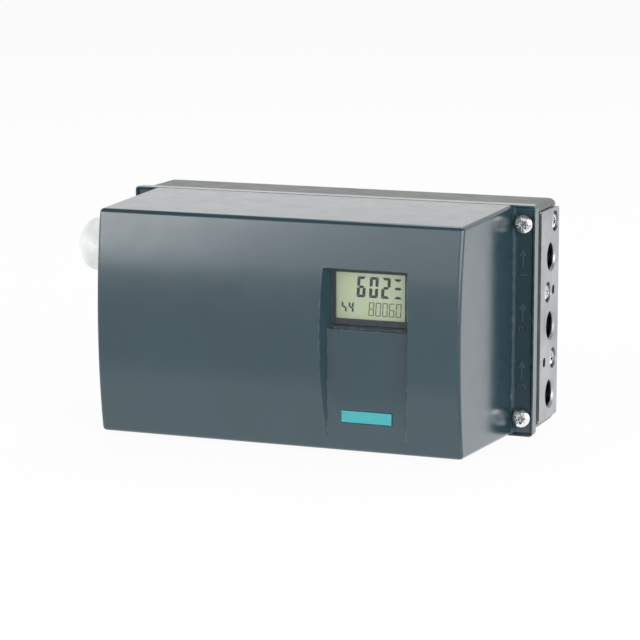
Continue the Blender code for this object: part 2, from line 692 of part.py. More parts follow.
def window_hole():
    """The tool for the clear opening behind the lens."""
    left, right = panel_edges(LENS_FRONT_Y)
    outline = rectangle(left + WINDOW_LEDGE, right - WINDOW_LEDGE, WINDOW_BOTTOM + WINDOW_LEDGE,
                        PANEL_TOP - WINDOW_LEDGE)
    return prism(outline, "Y", LENS_FRONT_Y, PANEL_BACK_Y + THROUGH)


def plate_outline(grow):
    """The small plate's outline, grown by a clearance."""
    centre = (PANEL_LEFT + PANEL_RIGHT) / 2
    return rectangle(centre - PLATE_WIDTH / 2 - grow, centre + PLATE_WIDTH / 2 + grow,
                     PLATE_CENTRE_Z - PLATE_HEIGHT / 2 - grow, PLATE_CENTRE_Z + PLATE_HEIGHT / 2 + grow)


def plate_pocket():
    """The tool for the small plate's seat."""
    floor_y = PANEL_FLOOR_Y - PLATE_PROUD + PLATE_THICKNESS + GAP
    return prism(plate_outline(GAP), "Y", PANEL_FLOOR_Y - THROUGH, floor_y)


def lens():
    """The window pane in its seat."""
    left, right = panel_edges(LENS_FRONT_Y)
    outline = rectangle(left + GAP, right - GAP, WINDOW_BOTTOM + GAP, PANEL_TOP - GAP, 0.0004, 2)
    return prism(outline, "Y", LENS_FRONT_Y, LENS_FRONT_Y + LENS_THICKNESS)


def front_plate():
    """The small plate on the panel, left bare."""
    front_y = PANEL_FLOOR_Y - PLATE_PROUD
    return prism(plate_outline(0.0), "Y", front_y, front_y + PLATE_THICKNESS)


# Base housing

def strip_outline(grow, back):
    """The port strip's outline across Z, in Y and Z, grown by a clearance and reaching back to a place."""
    half = STRIP_HEIGHT / 2
    return rectangle(-STRIP_WIDTH - grow, back, -half - grow, half + grow, STRIP_CORNER)


def strip_notches(grow, front_y):
    """The tools for the strip's two relieved corners, which leave room for the cover screws' bosses."""
    notches = []
    for side in (-1, 1):
        low_z, high_z = sorted((side * (NOTCH_Z + grow), side * (STRIP_HEIGHT / 2 + THROUGH)))
        notches.append(block((POCKET_X - THROUGH, front_y, low_z), (NOTCH_X - grow, NOTCH_Y - grow, high_z)))
    return notches


def port_strip():
    """The aluminium strip with its ports, screw seats and tapped holes."""
    body = prism(strip_outline(0.0, 0.0), "X", STRIP_BACK_X, STRIP_FACE_X)
    body = cut(body, *strip_notches(0.0, -STRIP_WIDTH - THROUGH))
    tools = []
    for y, z in PORT_PLACES:
        tools.append(turned("X", y, z, [(STRIP_FACE_X + THROUGH, PORT_MOUTH_RADIUS + THROUGH),
                                        (STRIP_FACE_X - (PORT_MOUTH_RADIUS - PORT_RADIUS), PORT_RADIUS),
                                        (STRIP_FACE_X - PORT_DEPTH, PORT_RADIUS),
                                        (STRIP_FACE_X - PORT_DEPTH, PASSAGE_RADIUS),
                                        (STRIP_BACK_X - THROUGH, PASSAGE_RADIUS)], 24))
    for y, z in STRIP_SCREW_PLACES:
        tools.append(turned("X", y, z, [(STRIP_FACE_X + THROUGH, STRIP_SEAT_RADIUS),
                                        (STRIP_FACE_X - STRIP_SEAT_DEPTH, STRIP_SEAT_RADIUS),
                                        (STRIP_FACE_X - STRIP_SEAT_DEPTH, M4_RADIUS + GAP),
                                        (STRIP_BACK_X - THROUGH, M4_RADIUS + GAP)], 16))
    for y, z in TAPPED_HOLE_PLACES:
        tools.append(turned("X", y, z, [(STRIP_FACE_X + THROUGH, TAPPED_HOLE_RADIUS),
                                        (STRIP_FACE_X - TAPPED_HOLE_DEPTH, TAPPED_HOLE_RADIUS)], 12))
    return cut(body, *tools)


def strip_gasket():
    """The sheet gasket behind the strip, with holes for the passages and screws."""
    half = NOTCH_Z - GAP
    body = prism(rectangle(-STRIP_WIDTH, 0.0, -half, half), "X", POCKET_X + GAP, STRIP_BACK_X - GAP)
    holes = [prism(circle(y, z, PASSAGE_RADIUS + GAP, 12), "X", POCKET_X - THROUGH, STRIP_BACK_X + THROUGH)
             for y, z in PORT_PLACES]
    holes += [prism(circle(y, z, M4_RADIUS + GAP, 12), "X", POCKET_X - THROUGH, STRIP_BACK_X + THROUGH)
              for y, z in STRIP_SCREW_PLACES if abs(z) < half - STRIP_SEAT_RADIUS / 2]
    return cut(body, *holes)


def gasket_outline(grow):
    """The cover gasket's centre line, grown outward, in X and Z."""
    across = HOOD_WIDTH / 2 - HOOD_WALL + GASKET_LAND + GASKET_WIDTH / 2 + grow
    half = BASE_HEIGHT / 2 - BASE_WALL / 2 + grow
    return rectangle(-across, across, -half, half, BASE_CORNER + grow)


def ring_prism(outer, inner, low, high):
    """A frame between two outlines of as many points, pulled along Y."""
    bm = bmesh.new()
    rings = [[bm.verts.new((x, y, z)) for x, z in outline]
             for outline, y in ((inner, low), (outer, low), (outer, high), (inner, high))]
    count = len(outer)
    for near, far in zip(rings, rings[1:] + rings[:1]):
        for index in range(count):
            after = (index + 1) % count
            bm.faces.new((near[index], near[after], far[after], far[index]))
    bmesh.ops.recalc_face_normals(bm, faces=bm.faces)
    return bm


def relief_pockets():
    """The tools for the shallow pockets between the ribs of the back."""
    pockets = []
    bays = ((CAVITY_LEFT + RELIEF_RIB, INSERT_PLACES[0][0] - 4 * RELIEF_RIB, 3),
            (INSERT_PLACES[0][0], CAVITY_RIGHT - RELIEF_RIB, 4))
    low_z = INSERT_PLACES[0][1] + INSERT_BOSS_RADIUS + 2 * RELIEF_RIB
    high_z = CAVITY_TOP - RELIEF_RIB
    for left, right, count in bays:
        pitch = (right - left + RELIEF_RIB) / count
        for index in range(count):
            start = left + index * pitch
            outline = rectangle(start, start + pitch - RELIEF_RIB, low_z, high_z, 0.0015, 1)
            pockets.append(prism(outline, "Y", -RELIEF_DEPTH, THROUGH))
    return pockets


def base_housing():
    """The tray that carries everything, with its bosses, bores, strip pocket and gasket groove."""
    half_width = BASE_WIDTH / 2
    half_height = BASE_HEIGHT / 2
    body = prism(rectangle(-half_width, half_width, -half_height, half_height, BASE_CORNER, 4), "Y",
                 BASE_FRONT_Y, 0.0)
    rounded(body, 0.0008, 1, lies_at("Y", 0.0))
    cavity = prism(rectangle(CAVITY_LEFT, CAVITY_RIGHT, -CAVITY_TOP, CAVITY_TOP, BASE_CORNER), "Y",
                   BASE_FRONT_Y - THROUGH, BASE_BACK_Y)
    pocket = prism(rectangle(POCKET_FRONT_Y, THROUGH, -STRIP_HEIGHT / 2 - GAP, STRIP_HEIGHT / 2 + GAP,
                             STRIP_CORNER), "X", POCKET_X, half_width + THROUGH)
    pocket = cut(pocket, *strip_notches(GAP, POCKET_FRONT_Y - THROUGH))
    body = cut(body, cavity, pocket)

    boss_end_y = -INSERT_LENGTH - 2 * GAP - INSERT_FLOOR
    bosses = [prism(circle(x, z, INSERT_BOSS_RADIUS, 16), "Y", boss_end_y, BASE_BACK_Y + BITE)
              for x, z in INSERT_PLACES]
    bosses.append(turned("Y", SHAFT_X, SHAFT_Z, [(BASE_BACK_Y + BITE, BUSH_BORE_RADIUS + SHAFT_BOSS_WALL),
                                                 (SHAFT_BOSS_Y, BUSH_BORE_RADIUS + SHAFT_BOSS_WALL)]))
    bosses.append(turned("Y", *SILENCER_PLACE, [(BASE_BACK_Y + BITE, SILENCER_RADIUS + 2 * BASE_CORNER / 3),
                                                (BASE_BACK_Y - BASE_WALL, SILENCER_RADIUS)]))
    bosses += [turned("Y", x, z, [(BASE_BACK_Y + BITE, POST_RADIUS + BITE),
                                  (BRACKET_BACK_Y + GAP, POST_RADIUS)], 12) for x, z in POST_PLACES]
    bosses.append(turned("Y", *PEG_PLACE, [(BASE_BACK_Y + BITE, POST_RADIUS + BITE),
                                           (BRACKET_BACK_Y + GAP, POST_RADIUS),
                                           (BRACKET_BACK_Y + GAP, M3_RADIUS),
                                           (BRACKET_FRONT_Y - BITE, M3_RADIUS)], 10))
    body = add(body, *bosses)
    body = add(body, *[turned("Y", x, z, [(BASE_BACK_Y + BITE, POST_RADIUS + 2 * BITE),
                                          (BOARD_BACK_Y + GAP, POST_RADIUS)], 12)
                       for x, z in CARRIER_SCREW_PLACES])

    holes = [prism(circle(x, z, INSERT_RADIUS + GAP, 16), "Y", -INSERT_LENGTH - 2 * GAP, THROUGH)
             for x, z in INSERT_PLACES]
    holes.append(prism(circle(SHAFT_X, SHAFT_Z, BUSH_BORE_RADIUS), "Y", SHAFT_BOSS_Y - THROUGH, THROUGH))
    holes.append(turned("Y", *SILENCER_PLACE, [(THROUGH, SILENCER_RADIUS + GAP),
                                               (-SILENCER_THICKNESS - 2 * GAP, SILENCER_RADIUS + GAP),
                                               (-SILENCER_THICKNESS - 2 * GAP, EXHAUST_RADIUS),
                                               (BASE_BACK_Y - BASE_WALL - THROUGH, EXHAUST_RADIUS)]))
    holes += [prism(circle(x, z, M3_RADIUS + GAP, 8), "Y", BRACKET_BACK_Y, BRACKET_BACK_Y + M3_GRIP)
              for x, z in POST_PLACES]
    holes += [prism(circle(x, z, M3_RADIUS + GAP, 8), "Y", BOARD_BACK_Y, BOARD_BACK_Y + M3_GRIP)
              for x, z in SCREWED_PLACES]
    holes += [prism(circle(sx * SCREW_X, sz * SCREW_Z, M4_RADIUS + GAP, 12), "Y", BASE_FRONT_Y - THROUGH,
                    BASE_FRONT_Y + COVER_SCREW_GRIP + GAP) for sx in (-1, 1) for sz in (-1, 1)]
    holes += [prism(circle(ENTRY_Y, sz * ENTRY_Z, ENTRY_THREAD_RADIUS + GAP, 24), "X", -half_width - THROUGH,
                    CAVITY_LEFT + THROUGH) for sz in (-1, 1)]
    holes.append(prism(circle(ENTRY_Y, 0.0, M4_RADIUS + GAP, 16), "X", -half_width - THROUGH,
                       -half_width + GROUND_GRIP + GAP))
    holes += [prism(circle(y, z, PASSAGE_RADIUS + GAP, 12), "X", CAVITY_RIGHT - THROUGH, POCKET_X + THROUGH)
              for y, z in PORT_PLACES]
    holes += [prism(circle(y, z, M4_RADIUS + GAP, 12), "X", CAVITY_RIGHT - THROUGH, POCKET_X + THROUGH)
              for y, z in STRIP_SCREW_PLACES]
    holes += relief_pockets()
    body = cut(body, *holes)
    half_groove = GASKET_WIDTH / 2 + GAP
    groove = ring_prism(gasket_outline(half_groove), gasket_outline(-half_groove), BASE_FRONT_Y - THROUGH,
                        BASE_FRONT_Y + GASKET_HEIGHT + GAP)
    return cut(body, groove)


# Feedback shaft and sensor drive

def feedback_shaft():
    """The shaft with its flat outside and its thinner front end."""
    end_y = WHEEL_FRONT_Y + WHEEL_WIDTH / 2
    step_y = BRACKET_FRONT_Y - GAP
    body = turned("Y", SHAFT_X, SHAFT_Z, [(SHAFT_REACH, SHAFT_RADIUS - BITE),
                                          (SHAFT_REACH - BITE, SHAFT_RADIUS),
                                          (step_y, SHAFT_RADIUS),
                                          (step_y, SHAFT_FRONT_RADIUS),
                                          (end_y, SHAFT_FRONT_RADIUS)], 20)
    flat_z = SHAFT_Z + SHAFT_RADIUS - SHAFT_FLAT_DEPTH
    flat = block((SHAFT_X - SHAFT_RADIUS - THROUGH, SHAFT_REACH - SHAFT_FLAT_LENGTH, flat_z),
                 (SHAFT_X + SHAFT_RADIUS + THROUGH, SHAFT_REACH + THROUGH, flat_z + SHAFT_RADIUS))
    return cut(body, flat)


def drive_gear():
    """The shaft's gear, with its hub bore and lightening holes."""
    body = prism(gear_outline(SHAFT_X, SHAFT_Z, GEAR_TEETH, GEAR_MODULE, math.pi / 2), "Y", GEAR_FRONT_Y,
                 GEAR_BACK_Y)
    pitch = GEAR_MODULE * GEAR_TEETH / 2
    middle = (pitch + SHAFT_RADIUS) / 2
    holes = [prism(circle(SHAFT_X, SHAFT_Z, SHAFT_RADIUS + GAP, 20), "Y", GEAR_FRONT_Y - THROUGH,
                   GEAR_BACK_Y + THROUGH)]
    for a, b in circle(SHAFT_X, SHAFT_Z, middle, 4):
        holes.append(prism(circle(a, b, (pitch - SHAFT_RADIUS) / 4, 10), "Y", GEAR_FRONT_Y - THROUGH,
                           GEAR_BACK_Y + THROUGH))
    return cut(body, *holes)


def sensor_pinion():
    """The pinion and its spindle, in mesh with the shaft's gear."""
    start = -math.pi / 2 + math.pi / PINION_TEETH
    body = prism(gear_outline(SHAFT_X, SENSOR_Z, PINION_TEETH, GEAR_MODULE, start), "Y", GEAR_FRONT_Y,
                 GEAR_BACK_Y)
    spindle = turned("Y", SHAFT_X, SENSOR_Z, [(GEAR_BACK_Y + BITE, SPINDLE_RADIUS),
                                              (BRACKET_FRONT_Y - SENSOR_LENGTH / 2, SPINDLE_RADIUS)], 16)
    return add(body, spindle)


def sensor():
    """The potentiometer's body with a blind bore for the spindle and its three solder tags' block."""
    back_y = BRACKET_FRONT_Y - GAP
    body = turned("Y", SHAFT_X, SENSOR_Z, [(back_y, SENSOR_RADIUS - BITE),
                                           (back_y - BITE, SENSOR_RADIUS),
                                           (back_y - SENSOR_LENGTH + BITE, SENSOR_RADIUS),
                                           (back_y - SENSOR_LENGTH, SENSOR_RADIUS - BITE)], 20)
    tags = block((SHAFT_X - SENSOR_RADIUS / 2, back_y - SENSOR_LENGTH * 0.8, SENSOR_Z + SENSOR_RADIUS / 2),
                 (SHAFT_X + SENSOR_RADIUS / 2, back_y - SENSOR_LENGTH * 0.4, SENSOR_Z + SENSOR_RADIUS * 1.25))
    body = add(body, tags)
    bore = prism(circle(SHAFT_X, SENSOR_Z, SPINDLE_RADIUS + GAP, 16), "Y",
                 BRACKET_FRONT_Y - SENSOR_LENGTH / 2 - GAP, back_y + THROUGH)
    return cut(body, bore)


def sensor_bracket():
    """The plate that carries the sensor, with the shaft's clearance hole."""
    foot = POST_SIDEWAYS + BRACKET_BORDER
    top_z = PEG_PLACE[1] + BRACKET_BORDER
    half = [(foot, SHAFT_Z - BRACKET_BORDER), (foot, SHAFT_Z + BRACKET_BORDER),
            (BRACKET_NECK, SENSOR_Z - BRACKET_NECK), (BRACKET_NECK, SENSOR_Z + BRACKET_BORDER),
            (BRACKET_BORDER, top_z)]
    outline = [(SHAFT_X + x, z) for x, z in half] + [(SHAFT_X - x, z) for x, z in reversed(half)]
    body = rounded(prism(outline, "Y", BRACKET_FRONT_Y, BRACKET_BACK_Y), 0.0015, 1, runs_along("Y"))
    low, high = BRACKET_FRONT_Y - THROUGH, BRACKET_BACK_Y + THROUGH
    holes = [prism(circle(SHAFT_X, SHAFT_Z, SHAFT_RADIUS + GAP), "Y", low, high),
             prism(circle(SHAFT_X, SENSOR_Z, SPINDLE_RADIUS + GAP, 16), "Y", low, high)]
    holes += [prism(circle(x, z, M3_RADIUS + GAP, 8), "Y", low, high) for x, z in POST_PLACES + [PEG_PLACE]]
    return cut(body, *holes)


def clutch_wheel():
    """The fluted adjusting wheel on the shaft's front end, with a screwdriver slot."""
    count = WHEEL_FLUTES * 2
    outline = []
    for step in range(count):
        radius = WHEEL_RADIUS - (WHEEL_FLUTE_DEPTH if step % 2 else 0.0)
        turn = 2 * math.pi * step / count
        outline.append((SHAFT_X + radius * math.cos(turn), SHAFT_Z + radius * math.sin(turn)))
    body = prism(outline, "Y", WHEEL_FRONT_Y, WHEEL_FRONT_Y + WHEEL_WIDTH)
    bore = prism(circle(SHAFT_X, SHAFT_Z, SHAFT_FRONT_RADIUS + GAP, 20), "Y",
                 WHEEL_FRONT_Y + WHEEL_WIDTH / 2 - GAP, WHEEL_FRONT_Y + WHEEL_WIDTH + THROUGH)
    slot = block((SHAFT_X - WHEEL_RADIUS * 0.55, WHEEL_FRONT_Y - THROUGH, SHAFT_Z - 0.0006),
                 (SHAFT_X + WHEEL_RADIUS * 0.55, WHEEL_FRONT_Y + 0.0015, SHAFT_Z + 0.0006))
    return cut(body, bore, slot)


def circlip():
    """The open retaining ring that keeps the gear on the shaft."""
    body = tube("Y", SHAFT_X, SHAFT_Z, SHAFT_RADIUS + GAP / 2, SHAFT_RADIUS + CIRCLIP_WALL,
                CIRCLIP_Y - CIRCLIP_THICKNESS, CIRCLIP_Y)
    mouth = block((SHAFT_X, CIRCLIP_Y - CIRCLIP_THICKNESS - THROUGH, SHAFT_Z - SHAFT_RADIUS / 3),
                  (SHAFT_X + 2 * SHAFT_RADIUS, CIRCLIP_Y + THROUGH, SHAFT_Z + SHAFT_RADIUS / 3))
    return cut(body, mouth)


def shaft_bush():
    """The flanged bush in the back."""
    back_y = SHAFT_BOSS_Y + BUSH_LENGTH
    body = tube("Y", SHAFT_X, SHAFT_Z, SHAFT_RADIUS + GAP, BUSH_RADIUS, SHAFT_BOSS_Y - GAP, back_y)
    collar = tube("Y", SHAFT_X, SHAFT_Z, SHAFT_RADIUS + GAP, BUSH_RADIUS + BUSH_WALL / 2,
                  SHAFT_BOSS_Y - GAP - BUSH_FLANGE, SHAFT_BOSS_Y - GAP)
    return add(body, collar)


# Electronics

def circuit_board():
    """The board behind the carrier, with holes for its screws and for the shaft."""
    half = CARRIER_HEIGHT / 2
    body = prism(rectangle(BOARD_LEFT, CARRIER_RIGHT, -half, half, BOARD_CORNER), "Y", BOARD_FRONT_Y,
                 BOARD_BACK_Y)
    low, high = BOARD_FRONT_Y - THROUGH, BOARD_BACK_Y + THROUGH
    holes = [prism(circle(x, z, M3_RADIUS + GAP, 8), "Y", low, high) for x, z in SCREWED_PLACES]
    holes.append(prism(circle(SHAFT_X, SHAFT_Z, SHAFT_RADIUS + 2 * THROUGH), "Y", low, high))
    return cut(body, *holes)


def turret_outline(inset):
    """The display tower's outline."""
    margin = FRAME_BORDER + TURRET_MARGIN - inset
    return rectangle(DISPLAY_LEFT - margin, DISPLAY_RIGHT + margin, TURRET_BOTTOM + inset, TURRET_TOP - inset,
                     CARRIER_CORNER / 2)


def carrier_outline(inset):
    """The electronics carrier's outline."""
    half = CARRIER_HEIGHT / 2 - inset
    return rectangle(CARRIER_LEFT + inset, CARRIER_RIGHT - inset, -half, half, CARRIER_CORNER - inset / 2)


def key_places():
    """The three keys' places in X and Z."""
    return [(DISPLAY_CENTRE_X + step * KEY_SPACING, KEY_ROW_Z) for step in (-1, 0, 1)]


def electronics_carrier():
    """The moulded shell over the board, with the display tower and its openings."""
    body = prism(carrier_outline(0.0), "Y", CARRIER_FRONT_Y, CARRIER_BACK_Y)
    rounded(body, 0.0012, 2, lies_at("Y", CARRIER_FRONT_Y))
    tower = prism(turret_outline(0.0), "Y", TURRET_FRONT_Y, CARRIER_FRONT_Y + CARRIER_WALL / 2)
    rounded(tower, 0.0008, 2, lies_at("Y", TURRET_FRONT_Y))
    body = add(body, tower)
    inside = prism(carrier_outline(CARRIER_WALL), "Y", CARRIER_FRONT_Y + CARRIER_WALL,
                   CARRIER_BACK_Y + THROUGH)
    room = prism(turret_outline(CARRIER_WALL), "Y", TURRET_FRONT_Y + CARRIER_WALL,
                 CARRIER_FRONT_Y + 2 * CARRIER_WALL)
    body = cut(body, add(inside, room))
    sleeves = [prism(circle(x, z, POST_RADIUS, 16), "Y", CARRIER_FRONT_Y + CARRIER_WALL / 2, CARRIER_BACK_Y)
               for x, z in CARRIER_SCREW_PLACES]
    body = add(body, *sleeves)
    front = CARRIER_FRONT_Y - THROUGH
    holes = [prism(circle(x, z, M3_RADIUS + GAP, 8), "Y", front, CARRIER_BACK_Y + THROUGH)
             for x, z in SCREWED_PLACES]
    holes.append(prism(circle(SHAFT_X, SHAFT_Z, WHEEL_RADIUS + 2 * GAP, 32), "Y", front,
                       CARRIER_FRONT_Y + CARRIER_WALL + THROUGH))
    holes.append(prism(circle(SELECTOR_X, SELECTOR_Z, SELECTOR_STEM + GAP, 16), "Y", front,
                       CARRIER_FRONT_Y + CARRIER_WALL + THROUGH))
    holes += [prism(circle(x, z, KEY_RADIUS + GAP, 14), "Y", TURRET_FRONT_Y - THROUGH,
                    TURRET_FRONT_Y + CARRIER_WALL + THROUGH) for x, z in key_places()]
    return cut(body, *holes)


def display_outline(grow):
    """The display's visible area, grown on each side."""
    return rectangle(DISPLAY_LEFT - grow, DISPLAY_RIGHT + grow, DISPLAY_BOTTOM - grow, DISPLAY_TOP + grow)


def display_frame():
    """The dark frame round the display glass, on the tower's front."""
    back_y = TURRET_FRONT_Y - GAP
    body = prism(display_outline(FRAME_BORDER), "Y", FRAME_FRONT_Y, back_y)
    rounded(body, 0.0006, 1, lies_at("Y", FRAME_FRONT_Y))
    room = prism(display_outline(GLASS_MARGIN + GAP), "Y", FRAME_FRONT_Y + FRAME_LIP, back_y + THROUGH)
    view = prism(display_outline(0.0), "Y", FRAME_FRONT_Y - THROUGH, FRAME_FRONT_Y + FRAME_LIP + BITE)
    return cut(body, add(room, view))


def operator_key(x, z):
    """One key cap with its collar inside the tower."""
    front_y = TURRET_FRONT_Y - KEY_STANDING - KEY_TRAVEL
    collar_y = TURRET_FRONT_Y + CARRIER_WALL + GAP
    return turned("Y", x, z, [(front_y, KEY_RADIUS - BITE),
                              (front_y + BITE, KEY_RADIUS),
                              (collar_y, KEY_RADIUS),
                              (collar_y, KEY_RADIUS + KEY_COLLAR),
                              (collar_y + KEY_COLLAR, KEY_RADIUS + KEY_COLLAR),
                              (collar_y + KEY_COLLAR, KEY_RADIUS / 2),
                              (TURRET_FRONT_Y + KEY_STEM, KEY_RADIUS / 2)], 14)


def ratio_selector():
    """The knob that picks the small or the large turning angle, with a finger bar across it."""
    face_y = CARRIER_FRONT_Y - GAP
    body = turned("Y", SELECTOR_X, SELECTOR_Z, [(face_y - SELECTOR_HEIGHT / 2, SELECTOR_RADIUS - BITE),
                                                (face_y - SELECTOR_HEIGHT / 2 + BITE, SELECTOR_RADIUS),
                                                (face_y, SELECTOR_RADIUS),
                                                (face_y, SELECTOR_STEM),
                                                (CARRIER_FRONT_Y + 2 * CARRIER_WALL, SELECTOR_STEM)])
    reach, half = SELECTOR_RADIUS * 0.8, SELECTOR_BAR / 2
    bar = block((SELECTOR_X - reach, face_y - SELECTOR_HEIGHT, SELECTOR_Z - half),
                (SELECTOR_X + reach, face_y - SELECTOR_HEIGHT / 4, SELECTOR_Z + half))
    rounded(bar, 0.0006, 2, runs_along("Y"))
    return add(body, bar)


def terminal_block(low_z):
    """A row of screw terminals: wells in front, wire entries at the side."""
    high_z = low_z + TERMINAL_POLES * TERMINAL_PITCH
    left, right = TERMINAL_LEFT, TERMINAL_LEFT + TERMINAL_WIDTH
    back_y = BOARD_FRONT_Y - GAP
    front_y = back_y - TERMINAL_HEIGHT
    profile = [(left, back_y), (right, back_y), (right, front_y), (left + TERMINAL_WIDTH * 0.35, front_y),
               (left, front_y + TERMINAL_HEIGHT * 0.4)]
    body = prism(profile, "Z", low_z, high_z)
    tools = []
    for pole in range(TERMINAL_POLES):
        z = low_z + (pole + 0.5) * TERMINAL_PITCH
        well_x = right - TERMINAL_WIDTH * 0.3
        tools.append(prism(circle(well_x, z, TERMINAL_WELL_RADIUS, 8), "Y", front_y - THROUGH,
                           front_y + 0.004))
        half = TERMINAL_ENTRY / 2
        entry_y = back_y - TERMINAL_HEIGHT * 0.3
        tools.append(block((left - THROUGH, entry_y - half, z - half),
                           (left + 0.005, entry_y + half, z + half)))
    return cut(body, *tools)


# Pneumatics

def valve_block():
    """The valve block along the strip's side, with its restrictor bores, purge slot and passages."""
    body = block((BLOCK_LEFT, BLOCK_FRONT_Y, -BLOCK_TOP), (BLOCK_RIGHT, BLOCK_BACK_Y, BLOCK_TOP))
    rounded(body, BLOCK_BEVEL, 2, lies_at("Y", BLOCK_FRONT_Y))
    front = BLOCK_FRONT_Y - THROUGH
    tools = [turned("Y", BLOCK_CENTRE_X, z, [(front, RESTRICTOR_RADIUS + GAP),
                                             (BLOCK_FRONT_Y + RESTRICTOR_LENGTH, RESTRICTOR_RADIUS + GAP)])
             for z in RESTRICTOR_Z]
    tools.append(block((BLOCK_CENTRE_X - PURGE_SLOT_WIDTH / 2, front, PURGE_Z - PURGE_SLOT_LENGTH / 2),
                       (BLOCK_CENTRE_X + PURGE_SLOT_WIDTH / 2, BLOCK_FRONT_Y + PURGE_SLOT_DEPTH,
                        PURGE_Z + PURGE_SLOT_LENGTH / 2)))
    tools += [prism(circle(y, z, PASSAGE_RADIUS, 16), "X", BLOCK_CENTRE_X, BLOCK_RIGHT + THROUGH)
              for y, z in PORT_PLACES]
    return cut(body, *tools)


def restrictor_screw(z):
    """One restrictor screw with its screwdriver slot."""
    front_y = BLOCK_FRONT_Y - GAP
    body = turned("Y", BLOCK_CENTRE_X, z, [(front_y, RESTRICTOR_RADIUS - BITE),
                                           (front_y + BITE, RESTRICTOR_RADIUS),
                                           (BLOCK_FRONT_Y + RESTRICTOR_LENGTH - GAP, RESTRICTOR_RADIUS)], 20)
    slot = block((BLOCK_CENTRE_X - 2 * RESTRICTOR_RADIUS, front_y - THROUGH, z - 0.0005),
                 (BLOCK_CENTRE_X + 2 * RESTRICTOR_RADIUS, front_y + 0.0014, z + 0.0005))
    return cut(body, slot)


def purge_air_selector():
    """The small slide in its slot, at the lower of its two places, with a ribbed thumb."""
    low_z = PURGE_Z - PURGE_SLOT_LENGTH / 2 + GAP
    half = PURGE_SLOT_WIDTH / 2 - GAP
    floor_y = BLOCK_FRONT_Y + PURGE_SLOT_DEPTH - GAP
    body = block((BLOCK_CENTRE_X - half, floor_y - PURGE_KNOB_HEIGHT, low_z),
                 (BLOCK_CENTRE_X + half, floor_y, low_z + PURGE_KNOB_LENGTH))
    front_y = floor_y - PURGE_KNOB_HEIGHT
    grooves = [block((BLOCK_CENTRE_X - half - THROUGH, front_y - THROUGH, low_z + PURGE_KNOB_LENGTH * share),
                     (BLOCK_CENTRE_X + half + THROUGH, front_y + 0.0006,
                      low_z + PURGE_KNOB_LENGTH * (share + 0.16))) for share in (0.18, 0.42, 0.66)]
    return cut(body, *grooves)


def pilot_valve():
    """The pilot valve module on the valve block, with cooling ribs and a plug socket."""
    back_y = BLOCK_FRONT_Y - GAP
    front_y = back_y - PILOT_LENGTH
    half_width = BLOCK_WIDTH / 2 - PILOT_SETBACK
    low_z, high_z = PILOT_BOTTOM, PILOT_TOP
    body = block((BLOCK_CENTRE_X - half_width, front_y, low_z), (BLOCK_CENTRE_X + half_width, back_y, high_z))
    rounded(body, 0.0010, 2, runs_along("Y"))
    tools = []
    count = 6
    for index in range(count):
        z = low_z + PILOT_HEIGHT * (0.12 + 0.09 * index)
        tools.append(block((BLOCK_CENTRE_X - half_width - THROUGH, front_y - THROUGH, z),
                           (BLOCK_CENTRE_X + half_width + THROUGH, front_y + 0.0012, z + PILOT_RIB * 2)))
    tools.append(block((BLOCK_CENTRE_X - half_width * 0.6, front_y - THROUGH, high_z - PILOT_HEIGHT * 0.26),
                       (BLOCK_CENTRE_X + half_width * 0.6, front_y + 0.005, high_z - PILOT_HEIGHT * 0.1)))
    return cut(body, *tools)


def exhaust_silencer():
    """The sintered disc in the back."""
    return turned("Y", *SILENCER_PLACE, [(-GAP, SILENCER_RADIUS - BITE),
                                         (-GAP - BITE, SILENCER_RADIUS),
                                         (-GAP - SILENCER_THICKNESS, SILENCER_RADIUS)])


# Cable entries

def gland_body():
    """Thread in the wall, hexagon and neck, with the cable's bore."""
    inner_x = CAVITY_LEFT - GAP
    hex_end = GLAND_FACE_X - GLAND_HEX_LENGTH
    neck_end = hex_end - GLAND_NECK_LENGTH
    body = prism(hexagon(ENTRY_Y, ENTRY_Z, GLAND_FLATS), "X", hex_end, GLAND_FACE_X)
    thread = turned("X", ENTRY_Y, ENTRY_Z, [(GLAND_FACE_X - BITE, ENTRY_THREAD_RADIUS),
                                            (inner_x - BITE, ENTRY_THREAD_RADIUS),
                                            (inner_x, ENTRY_THREAD_RADIUS - BITE)], 24)
    neck = prism(circle(ENTRY_Y, ENTRY_Z, GLAND_NECK_RADIUS, 24), "X", neck_end, hex_end + BITE)
    body = add(body, thread, neck)
    bore = prism(circle(ENTRY_Y, ENTRY_Z, GLAND_BORE, 24), "X", neck_end - THROUGH, inner_x + THROUGH)
    return cut(body, bore)


def nut_ring(x, size, hexness):
    """A ring of the nut: a circle of the given size, drawn out toward the hexagon by hexness."""
    ring = []
    for step in range(30):
        turn = 2 * math.pi * step / 30
        away = (math.degrees(turn) + 30) % 60 - 30
        corner = 1 / math.cos(math.radians(abs(away) - 30))
        reach = size * (1 + hexness * (corner - 1))
        ring.append(Vector((x, ENTRY_Y + reach * math.cos(turn), ENTRY_Z + reach * math.sin(turn))))
    return ring


def gland_nut():
    """The domed cap nut: a hexagon that runs out into a round nose."""
    start_x = GLAND_FACE_X - GLAND_HEX_LENGTH - 2 * GAP
    end_x = start_x - NUT_LENGTH
    dome_x = end_x + NUT_DOME
    half = GLAND_FLATS / 2
    rings = [nut_ring(start_x, half * 0.97, 0.6), nut_ring(start_x - BITE, half, 1.0),
             nut_ring(dome_x, half, 1.0)]
    nose = math.sqrt(1 - (NUT_NOSE / half) ** 2)
    for share in (0.25, 0.45, 0.63, 0.78, 0.90, 1.0):
        size = half * math.sqrt(1 - (share * nose) ** 2)
        rings.append(nut_ring(dome_x - NUT_DOME * share, size, 1.0 - share ** 3))
    body = loft(rings)
    room = turned("X", ENTRY_Y, ENTRY_Z, [(start_x + THROUGH, GLAND_NECK_RADIUS + GAP),
                                          (dome_x, GLAND_NECK_RADIUS + GAP),
                                          (end_x + NUT_WALL, NUT_MOUTH),
                                          (end_x - THROUGH, NUT_MOUTH)])
    return cut(body, room)


